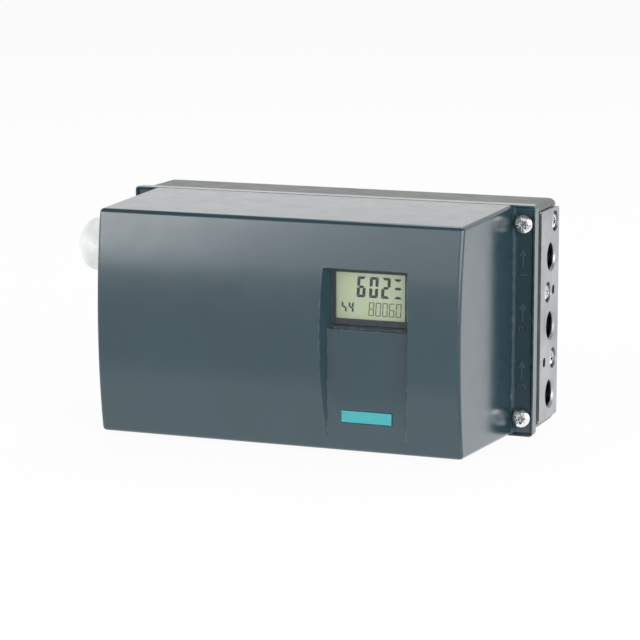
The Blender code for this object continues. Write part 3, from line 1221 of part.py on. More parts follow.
def gland_seal():
    """The rubber grommet between neck and nose."""
    neck_end = GLAND_FACE_X - GLAND_HEX_LENGTH - GLAND_NECK_LENGTH
    dome_x = GLAND_FACE_X - GLAND_HEX_LENGTH - 2 * GAP - NUT_LENGTH + NUT_DOME
    front_x = dome_x - GAP
    return tube("X", ENTRY_Y, ENTRY_Z, SEAL_BORE, GLAND_NECK_RADIUS - GAP, front_x, neck_end - GAP)


def entry_washer(sign):
    """The sealing washer under a gland or plug."""
    return tube("X", ENTRY_Y, sign * ENTRY_Z, ENTRY_THREAD_RADIUS + GAP, ENTRY_THREAD_RADIUS + WASHER_WALL,
                GLAND_FACE_X + GAP, SIDE_X - GAP, 20)


def blanking_plug():
    """The plug in the second entry, with a hexagon head."""
    outer_x = GLAND_FACE_X - PLUG_LENGTH
    body = prism(hexagon(ENTRY_Y, -ENTRY_Z, GLAND_FLATS), "X", outer_x, GLAND_FACE_X)
    rounded(body, 0.0012, 2, lies_at("X", outer_x))
    thread = turned("X", ENTRY_Y, -ENTRY_Z, [(GLAND_FACE_X - BITE, ENTRY_THREAD_RADIUS),
                                             (CAVITY_LEFT - 2 * GAP, ENTRY_THREAD_RADIUS)], 24)
    return add(body, thread)


def ground_clamp():
    """The earth terminal's square clamp with turned-up lips."""
    half = GROUND_CLAMP / 2
    inner_x = SIDE_X - GAP
    outer_x = inner_x - GROUND_CLAMP_THICKNESS
    lip = GROUND_CLAMP_THICKNESS
    body = block((outer_x, ENTRY_Y - half, -half), (inner_x, ENTRY_Y + half, half))
    lips = [block((outer_x - lip, ENTRY_Y + side * half - (lip if side > 0 else 0.0), -half),
                  (outer_x + BITE, ENTRY_Y + side * half + (0.0 if side > 0 else lip), half))
            for side in (-1, 1)]
    body = add(body, *lips)
    return cut(body, prism(circle(ENTRY_Y, 0.0, M4_RADIUS + GAP, 16), "X", outer_x - THROUGH,
                           inner_x + THROUGH))


# The assembly

def build_cover():
    piece("cover", cover(), "cover_plastic")
    piece("window_lens", lens(), "clear_lens")
    piece("front_plate", front_plate(), "teal_plate")
    number = 0
    for side_x in (-1, 1):
        for side_z in (1, -1):
            number += 1
            grip = FLANGE_THICKNESS - RIM_DEPTH + GAP + COVER_SCREW_GRIP
            screw = pan_screw("Y", side_x * SCREW_X, side_z * SCREW_Z, FLANGE_FLOOR_Y - GAP, -1,
                              M4_HEAD_RADIUS, M4_HEAD_HEIGHT, M4_RADIUS, grip)
            piece("cover_screw_%d" % number, screw, "chrome")


def build_base():
    piece("base_housing", base_housing(), "base_grey")
    gasket = ring_prism(gasket_outline(GASKET_WIDTH / 2), gasket_outline(-GASKET_WIDTH / 2), BASE_FRONT_Y,
                        BASE_FRONT_Y + GASKET_HEIGHT)
    piece("cover_gasket", gasket, "black_rubber")
    piece("port_strip", port_strip(), "port_aluminium")
    piece("strip_gasket", strip_gasket(), "black_rubber")
    for number, (y, z) in enumerate(STRIP_SCREW_PLACES, 1):
        seat_x = STRIP_FACE_X - STRIP_SEAT_DEPTH + GAP
        screw = pan_screw("X", y, z, seat_x, 1, M4_HEAD_RADIUS - GAP, M4_HEAD_HEIGHT, M4_RADIUS,
                          seat_x - CAVITY_RIGHT - GAP)
        piece("strip_screw_%d" % number, screw, "chrome")
    for number, (x, z) in enumerate(INSERT_PLACES, 1):
        insert = tube("Y", x, z, INSERT_BORE, INSERT_RADIUS, -INSERT_LENGTH - GAP, -GAP, 16)
        piece("mounting_insert_%d" % number, insert, "brass")
    piece("exhaust_silencer", exhaust_silencer(), "sintered_bronze")


def build_entries():
    piece("gland_body", gland_body(), "white_nylon")
    piece("gland_nut", gland_nut(), "white_nylon")
    piece("gland_seal", gland_seal(), "black_rubber")
    piece("gland_washer", entry_washer(1), "black_rubber")
    piece("blanking_plug", blanking_plug(), "white_nylon")
    piece("plug_washer", entry_washer(-1), "black_rubber")
    piece("ground_clamp", ground_clamp(), "steel")
    seat_x = SIDE_X - 2 * GAP - GROUND_CLAMP_THICKNESS
    screw = pan_screw("X", ENTRY_Y, 0.0, seat_x, -1, M4_HEAD_RADIUS - 2 * BITE, M4_HEAD_HEIGHT, M4_RADIUS,
                      GROUND_GRIP + GROUND_CLAMP_THICKNESS, 12)
    piece("ground_screw", screw, "steel")


def build_drive():
    pivot = (SHAFT_X, 0.0, SHAFT_Z)
    piece("feedback_shaft", feedback_shaft(), "steel", pivot)
    piece("drive_gear", drive_gear(), "white_nylon", pivot)
    piece("shaft_circlip", circlip(), "steel", pivot)
    piece("shaft_bush", shaft_bush(), "brass", pivot)
    seal_back = -2 * GAP
    piece("shaft_seal", tube("Y", SHAFT_X, SHAFT_Z, SHAFT_RADIUS + GAP, BUSH_RADIUS, seal_back - SEAL_LENGTH,
                             seal_back), "black_rubber", pivot)
    piece("clutch_wheel", clutch_wheel(), "black_plastic", (SHAFT_X, WHEEL_FRONT_Y, SHAFT_Z))
    piece("sensor_pinion", sensor_pinion(), "white_nylon", (SHAFT_X, GEAR_FRONT_Y, SENSOR_Z))
    piece("sensor_potentiometer", sensor(), "black_plastic")
    piece("sensor_bracket", sensor_bracket(), "steel")
    for number, (x, z) in enumerate(POST_PLACES, 1):
        screw = pan_screw("Y", x, z, BRACKET_FRONT_Y - GAP, -1, M3_HEAD_RADIUS, M3_HEAD_HEIGHT, M3_RADIUS,
                          BRACKET_THICKNESS + M3_GRIP - GAP, 10)
        piece("bracket_screw_%d" % number, screw, "steel")


def build_electronics():
    piece("circuit_board", circuit_board(), "board_green")
    piece("electronics_carrier", electronics_carrier(), "carrier_grey")
    for number, (x, z) in enumerate(SCREWED_PLACES, 1):
        screw = pan_screw("Y", x, z, CARRIER_FRONT_Y - GAP, -1, M3_HEAD_RADIUS, M3_HEAD_HEIGHT, M3_RADIUS,
                          BOARD_BACK_Y - CARRIER_FRONT_Y + M3_GRIP - GAP, 10)
        piece("carrier_screw_%d" % number, screw, "steel")
    piece("display_frame", display_frame(), "display_frame")
    glass = prism(display_outline(GLASS_MARGIN), "Y", DISPLAY_Y, DISPLAY_Y + GLASS_THICKNESS)
    piece("display_glass", glass, "display_glass")
    for number, (x, z) in enumerate(key_places(), 1):
        piece("operator_key_%d" % number, operator_key(x, z), "key_grey", (x, TURRET_FRONT_Y, z))
    piece("ratio_selector", ratio_selector(), "yellow_nylon", (SELECTOR_X, CARRIER_FRONT_Y, SELECTOR_Z))
    length = TERMINAL_POLES * TERMINAL_PITCH
    piece("terminal_block_1", terminal_block(TERMINAL_SPLIT / 2), "terminal_green")
    piece("terminal_block_2", terminal_block(-TERMINAL_SPLIT / 2 - length), "terminal_green")


def build_pneumatics():
    piece("valve_block", valve_block(), "black_plastic")
    piece("pilot_valve", pilot_valve(), "carrier_grey")
    for number, z in enumerate(RESTRICTOR_Z, 1):
        piece("restrictor_screw_%d" % number, restrictor_screw(z), "brass",
              (BLOCK_CENTRE_X, BLOCK_FRONT_Y, z))
    piece("purge_air_selector", purge_air_selector(), "yellow_nylon")


build_cover()
build_base()
build_entries()
build_drive()
build_electronics()
build_pneumatics()
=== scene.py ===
"""Looks of a valve positioner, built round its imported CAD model."""

import math

import bmesh
import bpy
from mathutils import Matrix, Quaternion, Vector


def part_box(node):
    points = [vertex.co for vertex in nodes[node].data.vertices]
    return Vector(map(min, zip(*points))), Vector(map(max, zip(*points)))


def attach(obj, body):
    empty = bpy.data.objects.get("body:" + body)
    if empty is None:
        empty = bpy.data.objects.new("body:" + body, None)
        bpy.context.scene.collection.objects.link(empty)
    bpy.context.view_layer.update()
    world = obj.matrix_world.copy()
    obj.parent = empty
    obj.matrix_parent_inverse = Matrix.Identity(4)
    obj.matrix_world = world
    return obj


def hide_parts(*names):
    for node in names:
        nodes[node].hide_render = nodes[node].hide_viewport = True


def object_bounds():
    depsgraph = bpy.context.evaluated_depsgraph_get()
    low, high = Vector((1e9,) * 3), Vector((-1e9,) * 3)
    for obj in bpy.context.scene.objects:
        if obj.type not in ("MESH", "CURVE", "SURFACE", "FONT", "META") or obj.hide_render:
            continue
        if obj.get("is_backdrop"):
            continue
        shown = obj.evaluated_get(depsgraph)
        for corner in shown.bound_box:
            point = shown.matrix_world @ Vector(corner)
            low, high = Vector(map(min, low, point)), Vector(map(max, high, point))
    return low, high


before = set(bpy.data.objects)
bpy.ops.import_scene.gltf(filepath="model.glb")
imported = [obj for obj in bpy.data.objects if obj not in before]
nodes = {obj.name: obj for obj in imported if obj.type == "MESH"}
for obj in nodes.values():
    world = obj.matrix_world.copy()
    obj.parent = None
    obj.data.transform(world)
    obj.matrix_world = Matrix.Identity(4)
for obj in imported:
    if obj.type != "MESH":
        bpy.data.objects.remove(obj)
cad_low, cad_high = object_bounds()
scene = bpy.context.scene

MM = 0.001


# Mesh tools

def ring(axis, a, b, radius, along, count, start=0.0):
    """A circle's points across an axis."""
    points = []
    for step in range(count):
        turn = start + 2 * math.pi * step / count
        u, v = a + radius * math.cos(turn), b + radius * math.sin(turn)
        points.append({"X": (along, u, v), "Y": (u, along, v), "Z": (u, v, along)}[axis])
    return points


def loft(rings, hoop=False):
    """A solid through rings of as many points, with flat ends; a hoop joins the last ring to the first instead."""
    bm = bmesh.new()
    layers = [[bm.verts.new(point) for point in points] for points in rings]
    for near, far in zip(layers, layers[1:] + layers[:1] if hoop else layers[1:]):
        for index in range(len(near)):
            after = (index + 1) % len(near)
            bm.faces.new((near[index], near[after], far[after], far[index]))
    if not hoop:
        bm.faces.new(layers[0])
        bm.faces.new(layers[-1])
    bmesh.ops.recalc_face_normals(bm, faces=bm.faces)
    return bm


def turned(axis, a, b, profile, count=32):
    """A solid turned about an axis, from places along it and radii."""
    return loft([ring(axis, a, b, radius, along, count) for along, radius in profile])


def slab(low, high):
    """A box between two corners."""
    (x0, y0, z0), (x1, y1, z1) = low, high
    return loft([[(x0, y, z0), (x1, y, z0), (x1, y, z1), (x0, y, z1)] for y in (y0, y1)])


def sheet(outlines, y, back_y):
    """Flat shapes in X and Z, each pulled from y to back_y."""
    parts = [loft([[(x, place, z) for x, z in outline] for place in (y, back_y)]) for outline in outlines]
    return gather(parts)


def gather(parts):
    """Several meshes as one."""
    whole = bmesh.new()
    for part in parts:
        mesh = bpy.data.meshes.new("part")
        part.to_mesh(mesh)
        part.free()
        whole.from_mesh(mesh)
        bpy.data.meshes.remove(mesh)
    return whole


def carve(body, tool):
    """The body less the tool."""
    objects = []
    for part in (body, tool):
        mesh = bpy.data.meshes.new("operand")
        part.to_mesh(mesh)
        part.free()
        operand = bpy.data.objects.new("operand", mesh)
        bpy.context.collection.objects.link(operand)
        objects.append(operand)
    modifier = objects[0].modifiers.new("carve", "BOOLEAN")
    modifier.operation, modifier.solver, modifier.object = "DIFFERENCE", "EXACT", objects[1]
    result = bmesh.new()
    result.from_object(objects[0], bpy.context.evaluated_depsgraph_get())
    for operand in objects:
        mesh = operand.data
        bpy.data.objects.remove(operand, do_unlink=True)
        bpy.data.meshes.remove(mesh)
    return result


def make(name, bm, material, body, bevel=0.0, replaces=(), sharp=35, limit=40):
    """A new piece that rides on a body; bevel is how far its edges are rounded, sharp and limit are in degrees."""
    mesh = bpy.data.meshes.new(name)
    bm.to_mesh(mesh)
    bm.free()
    mesh.shade_smooth()
    mesh.set_sharp_from_angle(angle=math.radians(sharp))
    mesh.materials.append(material)
    obj = bpy.data.objects.new(name, mesh)
    bpy.context.collection.objects.link(obj)
    if bevel:
        soften(obj, bevel, limit)
    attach(obj, body)
    if replaces:
        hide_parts(*replaces)
    return obj


def soften(obj, width, limit):
    """Rounded edges and even shading by modifiers; limit is the least angle of an edge in degrees."""
    bevel = obj.modifiers.new("edges", "BEVEL")
    bevel.width, bevel.segments = width, 2
    bevel.limit_method, bevel.angle_limit = "ANGLE", math.radians(limit)
    bevel.use_clamp_overlap = False
    bevel.miter_outer = "MITER_ARC"
    shading = obj.modifiers.new("shading", "WEIGHTED_NORMAL")
    shading.keep_sharp = False
    shading.weight = 70


def plain_normals():
    """A modifier's node group that lets shading follow the surface."""
    group = bpy.data.node_groups.new("plain_normals", "GeometryNodeTree")
    group.interface.new_socket("Geometry", in_out="INPUT", socket_type="NodeSocketGeometry")
    group.interface.new_socket("Geometry", in_out="OUTPUT", socket_type="NodeSocketGeometry")
    remove = group.nodes.new("GeometryNodeRemoveAttribute")
    remove.inputs["Name"].default_value = "custom_normal"
    group.links.new(group.nodes.new("NodeGroupInput").outputs[0], remove.inputs[0])
    group.links.new(remove.outputs[0], group.nodes.new("NodeGroupOutput").inputs[0])
    return group


PLAIN_NORMALS = plain_normals()
# Nodes with flats round several holes, which the rounding would close over if they weren't cut into triangles
HOLED_FLATS = ("base_housing", "terminal_block_2")


def dress(node, material, width):
    """A CAD node's finish, with its edges rounded where width isn't 0."""
    obj = nodes[node]
    for place in obj.material_slots:
        place.material = material
    obj.data.shade_smooth()
    obj.modifiers.new("normals", "NODES").node_group = PLAIN_NORMALS
    weld = obj.modifiers.new("weld", "WELD")
    weld.merge_threshold = 1e-6
    flat = obj.modifiers.new("flat", "DECIMATE")
    flat.decimate_type = "DISSOLVE"
    flat.angle_limit = math.radians(0.3)
    if node in HOLED_FLATS:
        triangles = obj.modifiers.new("triangles", "TRIANGULATE")
        triangles.min_vertices = 5
    if width:
        soften(obj, width, 40)
    else:
        split = obj.modifiers.new("split", "EDGE_SPLIT")
        split.split_angle = math.radians(32)


# Materials

class Finish:
    """A node material round one Principled shader."""

    def __init__(self, name, **values):
        self.material = bpy.data.materials.new(name)
        self.material.use_nodes = True
        self.tree = self.material.node_tree
        self.shader = self.tree.nodes["Principled BSDF"]
        self.where = self.add("ShaderNodeTexCoord").outputs["Object"]
        for key, value in values.items():
            self.shader.inputs[key.replace("_", " ")].default_value = value

    def add(self, kind, **settings):
        node = self.tree.nodes.new(kind)
        for key, value in settings.items():
            setattr(node, key, value)
        return node

    def link(self, start, end):
        self.tree.links.new(start, end)

    def noise(self, scale, detail=3.0, stretch=None):
        """Noise over the object; stretch scales its axes."""
        node = self.add("ShaderNodeTexNoise")
        node.inputs["Scale"].default_value = scale
        node.inputs["Detail"].default_value = detail
        node.inputs["Roughness"].default_value = 0.55
        where = self.where
        if stretch:
            mapping = self.add("ShaderNodeMapping")
            mapping.inputs["Scale"].default_value = stretch
            self.link(where, mapping.inputs["Vector"])
            where = mapping.outputs["Vector"]
        self.link(where, node.inputs["Vector"])
        return node.outputs["Fac"]

    def spread(self, value, low_in, high_in, low, high):
        """A value mapped from one range to another."""
        node = self.add("ShaderNodeMapRange")
        node.clamp = True
        for key, number in (("From Min", low_in), ("From Max", high_in), ("To Min", low), ("To Max", high)):
            node.inputs[key].default_value = number
        self.link(value, node.inputs["Value"])
        return node.outputs["Result"]

    def mix(self, factor, first, second):
        """A colour between two, each a colour or an output."""
        node = self.add("ShaderNodeMix", data_type="RGBA")
        self.link(factor, node.inputs[0])
        for socket, colour in ((node.inputs[6], first), (node.inputs[7], second)):
            if isinstance(colour, tuple):
                socket.default_value = (*colour, 1.0)
            else:
                self.link(colour, socket)
        return node.outputs[2]

    def multiply(self, first, second):
        node = self.add("ShaderNodeMath", operation="MULTIPLY")
        self.link(first, node.inputs[0])
        self.link(second, node.inputs[1])
        return node.outputs[0]

    def edges(self, radius, breakup):
        """How near an edge the surface is, broken up by noise."""
        rounded = self.add("ShaderNodeBevel", samples=4)
        rounded.inputs["Radius"].default_value = radius
        dot = self.add("ShaderNodeVectorMath", operation="DOT_PRODUCT")
        self.link(rounded.outputs["Normal"], dot.inputs[0])
        self.link(self.add("ShaderNodeNewGeometry").outputs["Normal"], dot.inputs[1])
        near = self.spread(dot.outputs["Value"], 0.995, 0.90, 0.0, 1.0)
        return self.multiply(near, self.spread(self.noise(breakup, 4.0), 0.46, 0.66, 0.0, 1.0))

    def colour(self, value):
        self.link(value, self.shader.inputs["Base Color"])

    def rough(self, value):
        self.link(value, self.shader.inputs["Roughness"])

    def bump(self, value, distance):
        node = self.add("ShaderNodeBump")
        node.inputs["Distance"].default_value = distance
        self.link(value, node.inputs["Height"])
        self.link(node.outputs["Normal"], self.shader.inputs["Normal"])


def tint(colour, share):
    """A colour times a share, kept at 1 at most."""
    return tuple(min(1.0, part * share) for part in colour)


def plastic(name, colour, rough, variation=0.05, grain=900.0, depth=0.00002, pale_edges=None, cloud=25.0, **more):
    """Moulded plastic or paint: cloudy colour, fine grain, paler or barer edges; on the cover the paler edges are
    mostly a painted highlight.
    """
    look = Finish(name, Metallic=0.0, **more)
    fill = look.mix(look.spread(look.noise(cloud, 2.0), 0.35, 0.65, 0.0, 1.0), tint(colour, 1 - variation),
                    tint(colour, 1 + variation))
    speck = look.spread(look.noise(grain * 0.6, 2.0), 0.35, 0.7, 0.0, 1.0)
    fill = look.mix(look.multiply(speck, look.spread(look.noise(cloud * 3, 3.0), 0.3, 0.7, 0.0, 0.5)), fill,
                    tint(colour, 1 + variation * 2))
    if pale_edges:
        radius, share, tone = pale_edges
        near = look.edges(radius, 260.0)
        fill = look.mix(look.spread(near, 0.0, 1.0, 0.0, share), fill, tone)
    look.colour(fill)
    look.rough(look.spread(look.noise(cloud * 4, 4.0), 0.3, 0.7, rough * 0.88, rough * 1.12))
    look.bump(look.noise(grain, 2.0), depth)
    return look.material


def metal(name, colour, rough, stretch=None, scale=400.0, depth=0.000004, variation=0.06, pale_edges=None, grime=None):
    """Metal with brushing or fine grain, duller in patches."""
    look = Finish(name, Metallic=1.0)
    lines = look.noise(scale, 4.0, stretch)
    patch = look.noise(60.0, 3.0)
    fill = look.mix(look.spread(lines, 0.3, 0.7, 0.0, 1.0), tint(colour, 1 - variation), tint(colour, 1 + variation))
    if grime:
        fill = look.mix(look.spread(patch, 0.52, 0.75, 0.0, 0.45), fill, grime)
    if pale_edges:
        fill = look.mix(look.spread(look.edges(pale_edges[0], 300.0), 0.0, 1.0, 0.0, pale_edges[1]), fill, pale_edges[2])
    look.colour(fill)
    look.rough(look.spread(patch, 0.3, 0.7, rough * 0.8, rough * 1.25))
    look.bump(lines, depth)
    return look.material


COVER = (0.016, 0.039, 0.050)
# The cover's pale edge tone is partly edge wear and mostly a painted highlight, standing in for light caught on its
# rounded edges.
cover_finish = plastic("cover_finish", COVER, 0.20, 0.035, 1400.0, 0.000004, (0.0005, 0.70, (0.16, 0.21, 0.23)),
                       IOR=1.54)
# The flange marks are a paler copy of the cover's colour: a painted highlight for light caught by the raised marks.
mark_painted_highlight = plastic("mark_painted_highlight", tint(COVER, 1.7), 0.30, 0.035, 1400.0, 0.000004)
base_finish = plastic("base_finish", (0.118, 0.127, 0.118), 0.50, 0.06, 1100.0, 0.00003,
                      (0.0008, 0.35, (0.24, 0.25, 0.24)), IOR=1.38)
strip_finish = metal("strip_finish", (0.290, 0.300, 0.318), 0.42, (1.0, 1.0, 0.06), 2400.0, 0.000006, 0.05,
                     (0.0005, 0.5, (0.50, 0.51, 0.52)), (0.245, 0.252, 0.268))
chrome_finish = metal("chrome_finish", (0.60, 0.61, 0.62), 0.15, None, 700.0, 0.000003, 0.04, None,
                      (0.52, 0.53, 0.54))
steel_finish = metal("steel_finish", (0.46, 0.47, 0.48), 0.26, (1.0, 0.1, 1.0), 1500.0, 0.000004, 0.08,
                     (0.0004, 0.4, (0.66, 0.67, 0.68)))
# Near black: painted shade for the dark of the deep port bores, on threads that would be bare metal.
thread_painted_shade = metal("thread_painted_shade", (0.005, 0.005, 0.005), 0.40, None, 700.0, 0.000004, 0.06, None,
                      (0.003, 0.003, 0.003))
zinc_finish = metal("zinc_finish", (0.52, 0.53, 0.54), 0.30, None, 500.0, 0.000006, 0.10, None, (0.40, 0.41, 0.42))
brass_finish = metal("brass_finish", (0.62, 0.46, 0.20), 0.28, None, 900.0, 0.000004, 0.08, None,
                     (0.40, 0.28, 0.12))
bronze_finish = metal("bronze_finish", (0.42, 0.29, 0.14), 0.62, None, 1500.0, 0.00012, 0.30, None,
                      (0.20, 0.14, 0.07))
rubber_finish = plastic("rubber_finish", (0.018, 0.018, 0.019), 0.72, 0.12, 1500.0, 0.00003)
white_finish = plastic("white_finish", (0.72, 0.74, 0.735), 0.46, 0.015, 1000.0, 0.000012,
                       (0.0006, 0.3, (0.78, 0.80, 0.795)))
yellow_finish = plastic("yellow_finish", (0.78, 0.50, 0.03), 0.42, 0.05, 1000.0, 0.00002,
                        (0.0004, 0.4, (0.86, 0.66, 0.20)))
carrier_finish = plastic("carrier_finish", (0.27, 0.29, 0.30), 0.50, 0.05, 1300.0, 0.00004,
                         (0.0006, 0.3, (0.38, 0.40, 0.41)))
key_finish = plastic("key_finish", (0.50, 0.53, 0.54), 0.45, 0.04, 1200.0, 0.00002,
                     (0.0004, 0.3, (0.62, 0.64, 0.65)))
black_finish = plastic("black_finish", (0.026, 0.027, 0.029), 0.42, 0.10, 1300.0, 0.00003,
                       (0.0005, 0.5, (0.07, 0.072, 0.075)))
frame_finish = plastic("frame_finish", (0.008, 0.017, 0.024), 0.55, 0.08, 1300.0, 0.00002)
print_finish = plastic("print_finish", (0.62, 0.64, 0.64), 0.45, 0.03, 900.0, 0.00001)
lcd_ink = plastic("lcd_ink", (0.020, 0.028, 0.040), 0.30, 0.05, 900.0, 0.00001)
lcd_faint = plastic("lcd_faint", (0.09, 0.125, 0.065), 0.30, 0.05, 900.0, 0.00001)
lcd_finish = plastic("lcd_finish", (0.52, 0.60, 0.40), 0.30, 0.02, 1200.0, 0.00001)
plate_finish = plastic("plate_finish", (0.030, 0.285, 0.305), 0.30, 0.04, 1000.0, 0.00001,
                       (0.0003, 0.4, (0.08, 0.36, 0.38)))
board_finish = plastic("board_finish", (0.018, 0.14, 0.06), 0.30, 0.12, 1400.0, 0.00002)
terminal_finish = plastic("terminal_finish", (0.05, 0.28, 0.11), 0.42, 0.06, 1000.0, 0.00002,
                          (0.0004, 0.3, (0.12, 0.40, 0.20)))

pane = Finish("lens_finish", Roughness=0.03, IOR=1.9, Alpha=0.12)
pane.colour(pane.mix(pane.spread(pane.noise(30.0), 0.3, 0.7, 0.0, 1.0), (0.012, 0.022, 0.029),
                     (0.016, 0.027, 0.035)))
pane.rough(pane.spread(pane.noise(220.0, 4.0), 0.4, 0.75, 0.02, 0.07))
pane.bump(pane.noise(60.0, 2.0), 0.00001)
lens_finish = pane.material

# Finish of each CAD node that stays, and how far its edges are rounded

FINISH_OF = {
    "cover": (cover_finish, 0.00004), "window_lens": (lens_finish, 0.0), "front_plate": (plate_finish, 0.0001),
    "base_housing": (base_finish, 0.00035), "cover_gasket": (rubber_finish, 0.0),
    "port_strip": (strip_finish, 0.0002), "strip_gasket": (rubber_finish, 0.0),
    "exhaust_silencer": (bronze_finish, 0.0), "gland_body": (white_finish, 0.0003),
    "gland_seal": (rubber_finish, 0.0002), "gland_washer": (rubber_finish, 0.0002),
    "blanking_plug": (white_finish, 0.0003), "plug_washer": (rubber_finish, 0.0002),
    "ground_clamp": (zinc_finish, 0.0002), "ground_screw": (zinc_finish, 0.0001),
    "feedback_shaft": (steel_finish, 0.0002), "drive_gear": (white_finish, 0.0),
    "shaft_circlip": (steel_finish, 0.0), "shaft_bush": (brass_finish, 0.0002), "shaft_seal": (rubber_finish, 0.0),
    "clutch_wheel": (black_finish, 0.0002), "sensor_pinion": (white_finish, 0.0),
    "sensor_potentiometer": (black_finish, 0.0), "sensor_bracket": (steel_finish, 0.0002),
    "bracket_screw_1": (zinc_finish, 0.0), "bracket_screw_2": (zinc_finish, 0.0),
    "circuit_board": (board_finish, 0.0), "electronics_carrier": (carrier_finish, 0.0003),
    "carrier_screw_1": (zinc_finish, 0.0), "carrier_screw_2": (zinc_finish, 0.0),
    "display_frame": (frame_finish, 0.0001), "display_glass": (lcd_finish, 0.0),
    "operator_key_1": (key_finish, 0.0003), "operator_key_2": (key_finish, 0.0003),
    "operator_key_3": (key_finish, 0.0003), "ratio_selector": (yellow_finish, 0.0002),
    "terminal_block_1": (terminal_finish, 0.0001), "terminal_block_2": (terminal_finish, 0.0001),
    "valve_block": (black_finish, 0.0002), "pilot_valve": (carrier_finish, 0.0002),
    "restrictor_screw_1": (brass_finish, 0.0001), "restrictor_screw_2": (brass_finish, 0.0001),
    "purge_air_selector": (yellow_finish, 0.0001),
}
for number in (1, 2, 3, 4):
    FINISH_OF["mounting_insert_%d" % number] = (brass_finish, 0.0001)
for node, (material, width) in FINISH_OF.items():
    dress(node, material, width)


# M4 screws with a cross recess and a threaded shank

M4_HEAD_HEIGHT = 2.7 * MM
M4_SHANK_RADIUS = 1.95 * MM
M4_PITCH = 0.7 * MM


def spun(x, y, angle):
    """A point in a plane, turned about the origin."""
    return x * math.cos(angle) - y * math.sin(angle), x * math.sin(angle) + y * math.cos(angle)


def cross_screw(head_radius, grip):
    """A pan-head screw on the Z axis: its head stands on z = 0 and points to +Z."""
    head_height, shank_radius, pitch = M4_HEAD_HEIGHT, M4_SHANK_RADIUS, M4_PITCH
    profile = [(-grip, shank_radius * 0.6), (-grip + pitch, shank_radius - pitch * 0.5)]
    along = -grip + pitch
    while along < -pitch * 1.6:
        profile += [(along + pitch * 0.5, shank_radius), (along + pitch, shank_radius - pitch * 0.5)]
        along += pitch
    profile += [(-pitch * 0.3, shank_radius), (0.0, shank_radius)]
    profile += [(0.0, head_radius * 0.95), (head_height * 0.10, head_radius)]
    for share in (0.25, 0.45, 0.62, 0.76, 0.88, 0.96, 1.0):
        profile.append((head_height * (0.22 + 0.78 * share), head_radius * math.sqrt(1 - 0.80 * share ** 2.6)))
    body = turned("Z", 0.0, 0.0, profile, 40)
    arm, wide = head_radius * 0.60, head_radius * 0.14
    rings = []
    for z, scale in ((head_height * 1.3, 1.0), (head_height * 0.30, 0.62)):
        points = []
        for turn in range(4):
            angle = turn * math.pi / 2
            for x, y in ((arm * scale, -wide), (arm * scale, wide), (wide, wide)):
                points.append((*spun(x, y, angle), z))
        rings.append(points)
    body = carve(body, loft(rings))
    star = []
    inner, outer, half = head_radius * 0.22, head_radius * 0.62, wide * 0.30
    for turn in range(4):
        angle = math.pi / 4 + turn * math.pi / 2
        corners = [spun(x, y, angle) for x, y in ((inner, -half), (outer, -half), (outer, half), (inner, half))]
        star.append(loft([[(*corner, z) for corner in corners] for z in (head_height * 0.80, head_height * 1.3)]))
    return carve(body, gather(star))


def place_screw(bm, axis, a, b, seat, outward, turn):
    """Moves a screw from the Z axis to its seat."""
    target = {"X": Vector((outward, 0, 0)), "Y": Vector((0, outward, 0)), "Z": Vector((0, 0, outward))}[axis]
    place = {"X": Vector((seat, a, b)), "Y": Vector((a, seat, b)), "Z": Vector((a, b, seat))}[axis]
    rotation = Vector((0, 0, 1)).rotation_difference(target).to_matrix().to_4x4()
    bm.transform(Matrix.Translation(place) @ rotation @ Matrix.Rotation(turn, 4, "Z"))
    return bm


def middle(node):
    """The middle of a CAD node's box."""
    low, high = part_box(node)
    return (low + high) / 2


for number, turn in ((1, 0.3), (2, 1.0), (3, 0.75), (4, 0.12)):
    low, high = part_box("cover_screw_%d" % number)
    centre = middle("cover_screw_%d" % number)
    radius = (high.x - low.x) / 2
    seat = low.y + M4_HEAD_HEIGHT
    bm = cross_screw(radius, high.y - seat)
    place_screw(bm, "Y", centre.x, centre.z, seat, -1, turn)
    make("cover_bolt_%d" % number, bm, chrome_finish, "cover", 0.00010,
         ["cover_screw_%d" % number], 50, 38)
for number, turn in ((1, 0.5), (2, 1.15), (3, 0.2)):
    low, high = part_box("strip_screw_%d" % number)
    centre = middle("strip_screw_%d" % number)
    radius = (high.y - low.y) / 2
    seat = high.x - M4_HEAD_HEIGHT
    bm = cross_screw(radius, seat - low.x)
    place_screw(bm, "X", centre.y, centre.z, seat, 1, turn)
    make("strip_bolt_%d" % number, bm, chrome_finish, "base", 0.00010,
         ["strip_screw_%d" % number], 50, 38)

# Threads: fine rings in the ports and the rear inserts

STRIP_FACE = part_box("port_strip")[1].x
PORT_Y = -10.95 * MM
PORT_Z = [z * MM for z in (24.9, -4.875, -34.65)]
PORT_RADIUS, PORT_PITCH = 5.66 * MM, 1.337 * MM
INSERT_RADIUS, INSERT_PITCH = 3.30 * MM, 1.25 * MM


def thread_rings(axis, a, b, radius, start, end, pitch, depth, count=40):
    """An inward thread as a stack of crests on a bore's wall, thin and open at both ends."""
    steps = int(abs(end - start) / pitch)
    sign = 1 if end > start else -1
    rings = []
    for step in range(steps):
        along = start + sign * step * pitch
        rings.append(ring(axis, a, b, radius - 0.02 * MM, along, count))
        rings.append(ring(axis, a, b, radius - depth, along + sign * pitch * 0.5, count))
    last = start + sign * steps * pitch
    rings.append(ring(axis, a, b, radius - 0.02 * MM, last, count))
    rings.append(ring(axis, a, b, radius - 0.01 * MM, last, count))
    rings.append(ring(axis, a, b, radius - 0.01 * MM, start, count))
    return loft(rings, hoop=True)


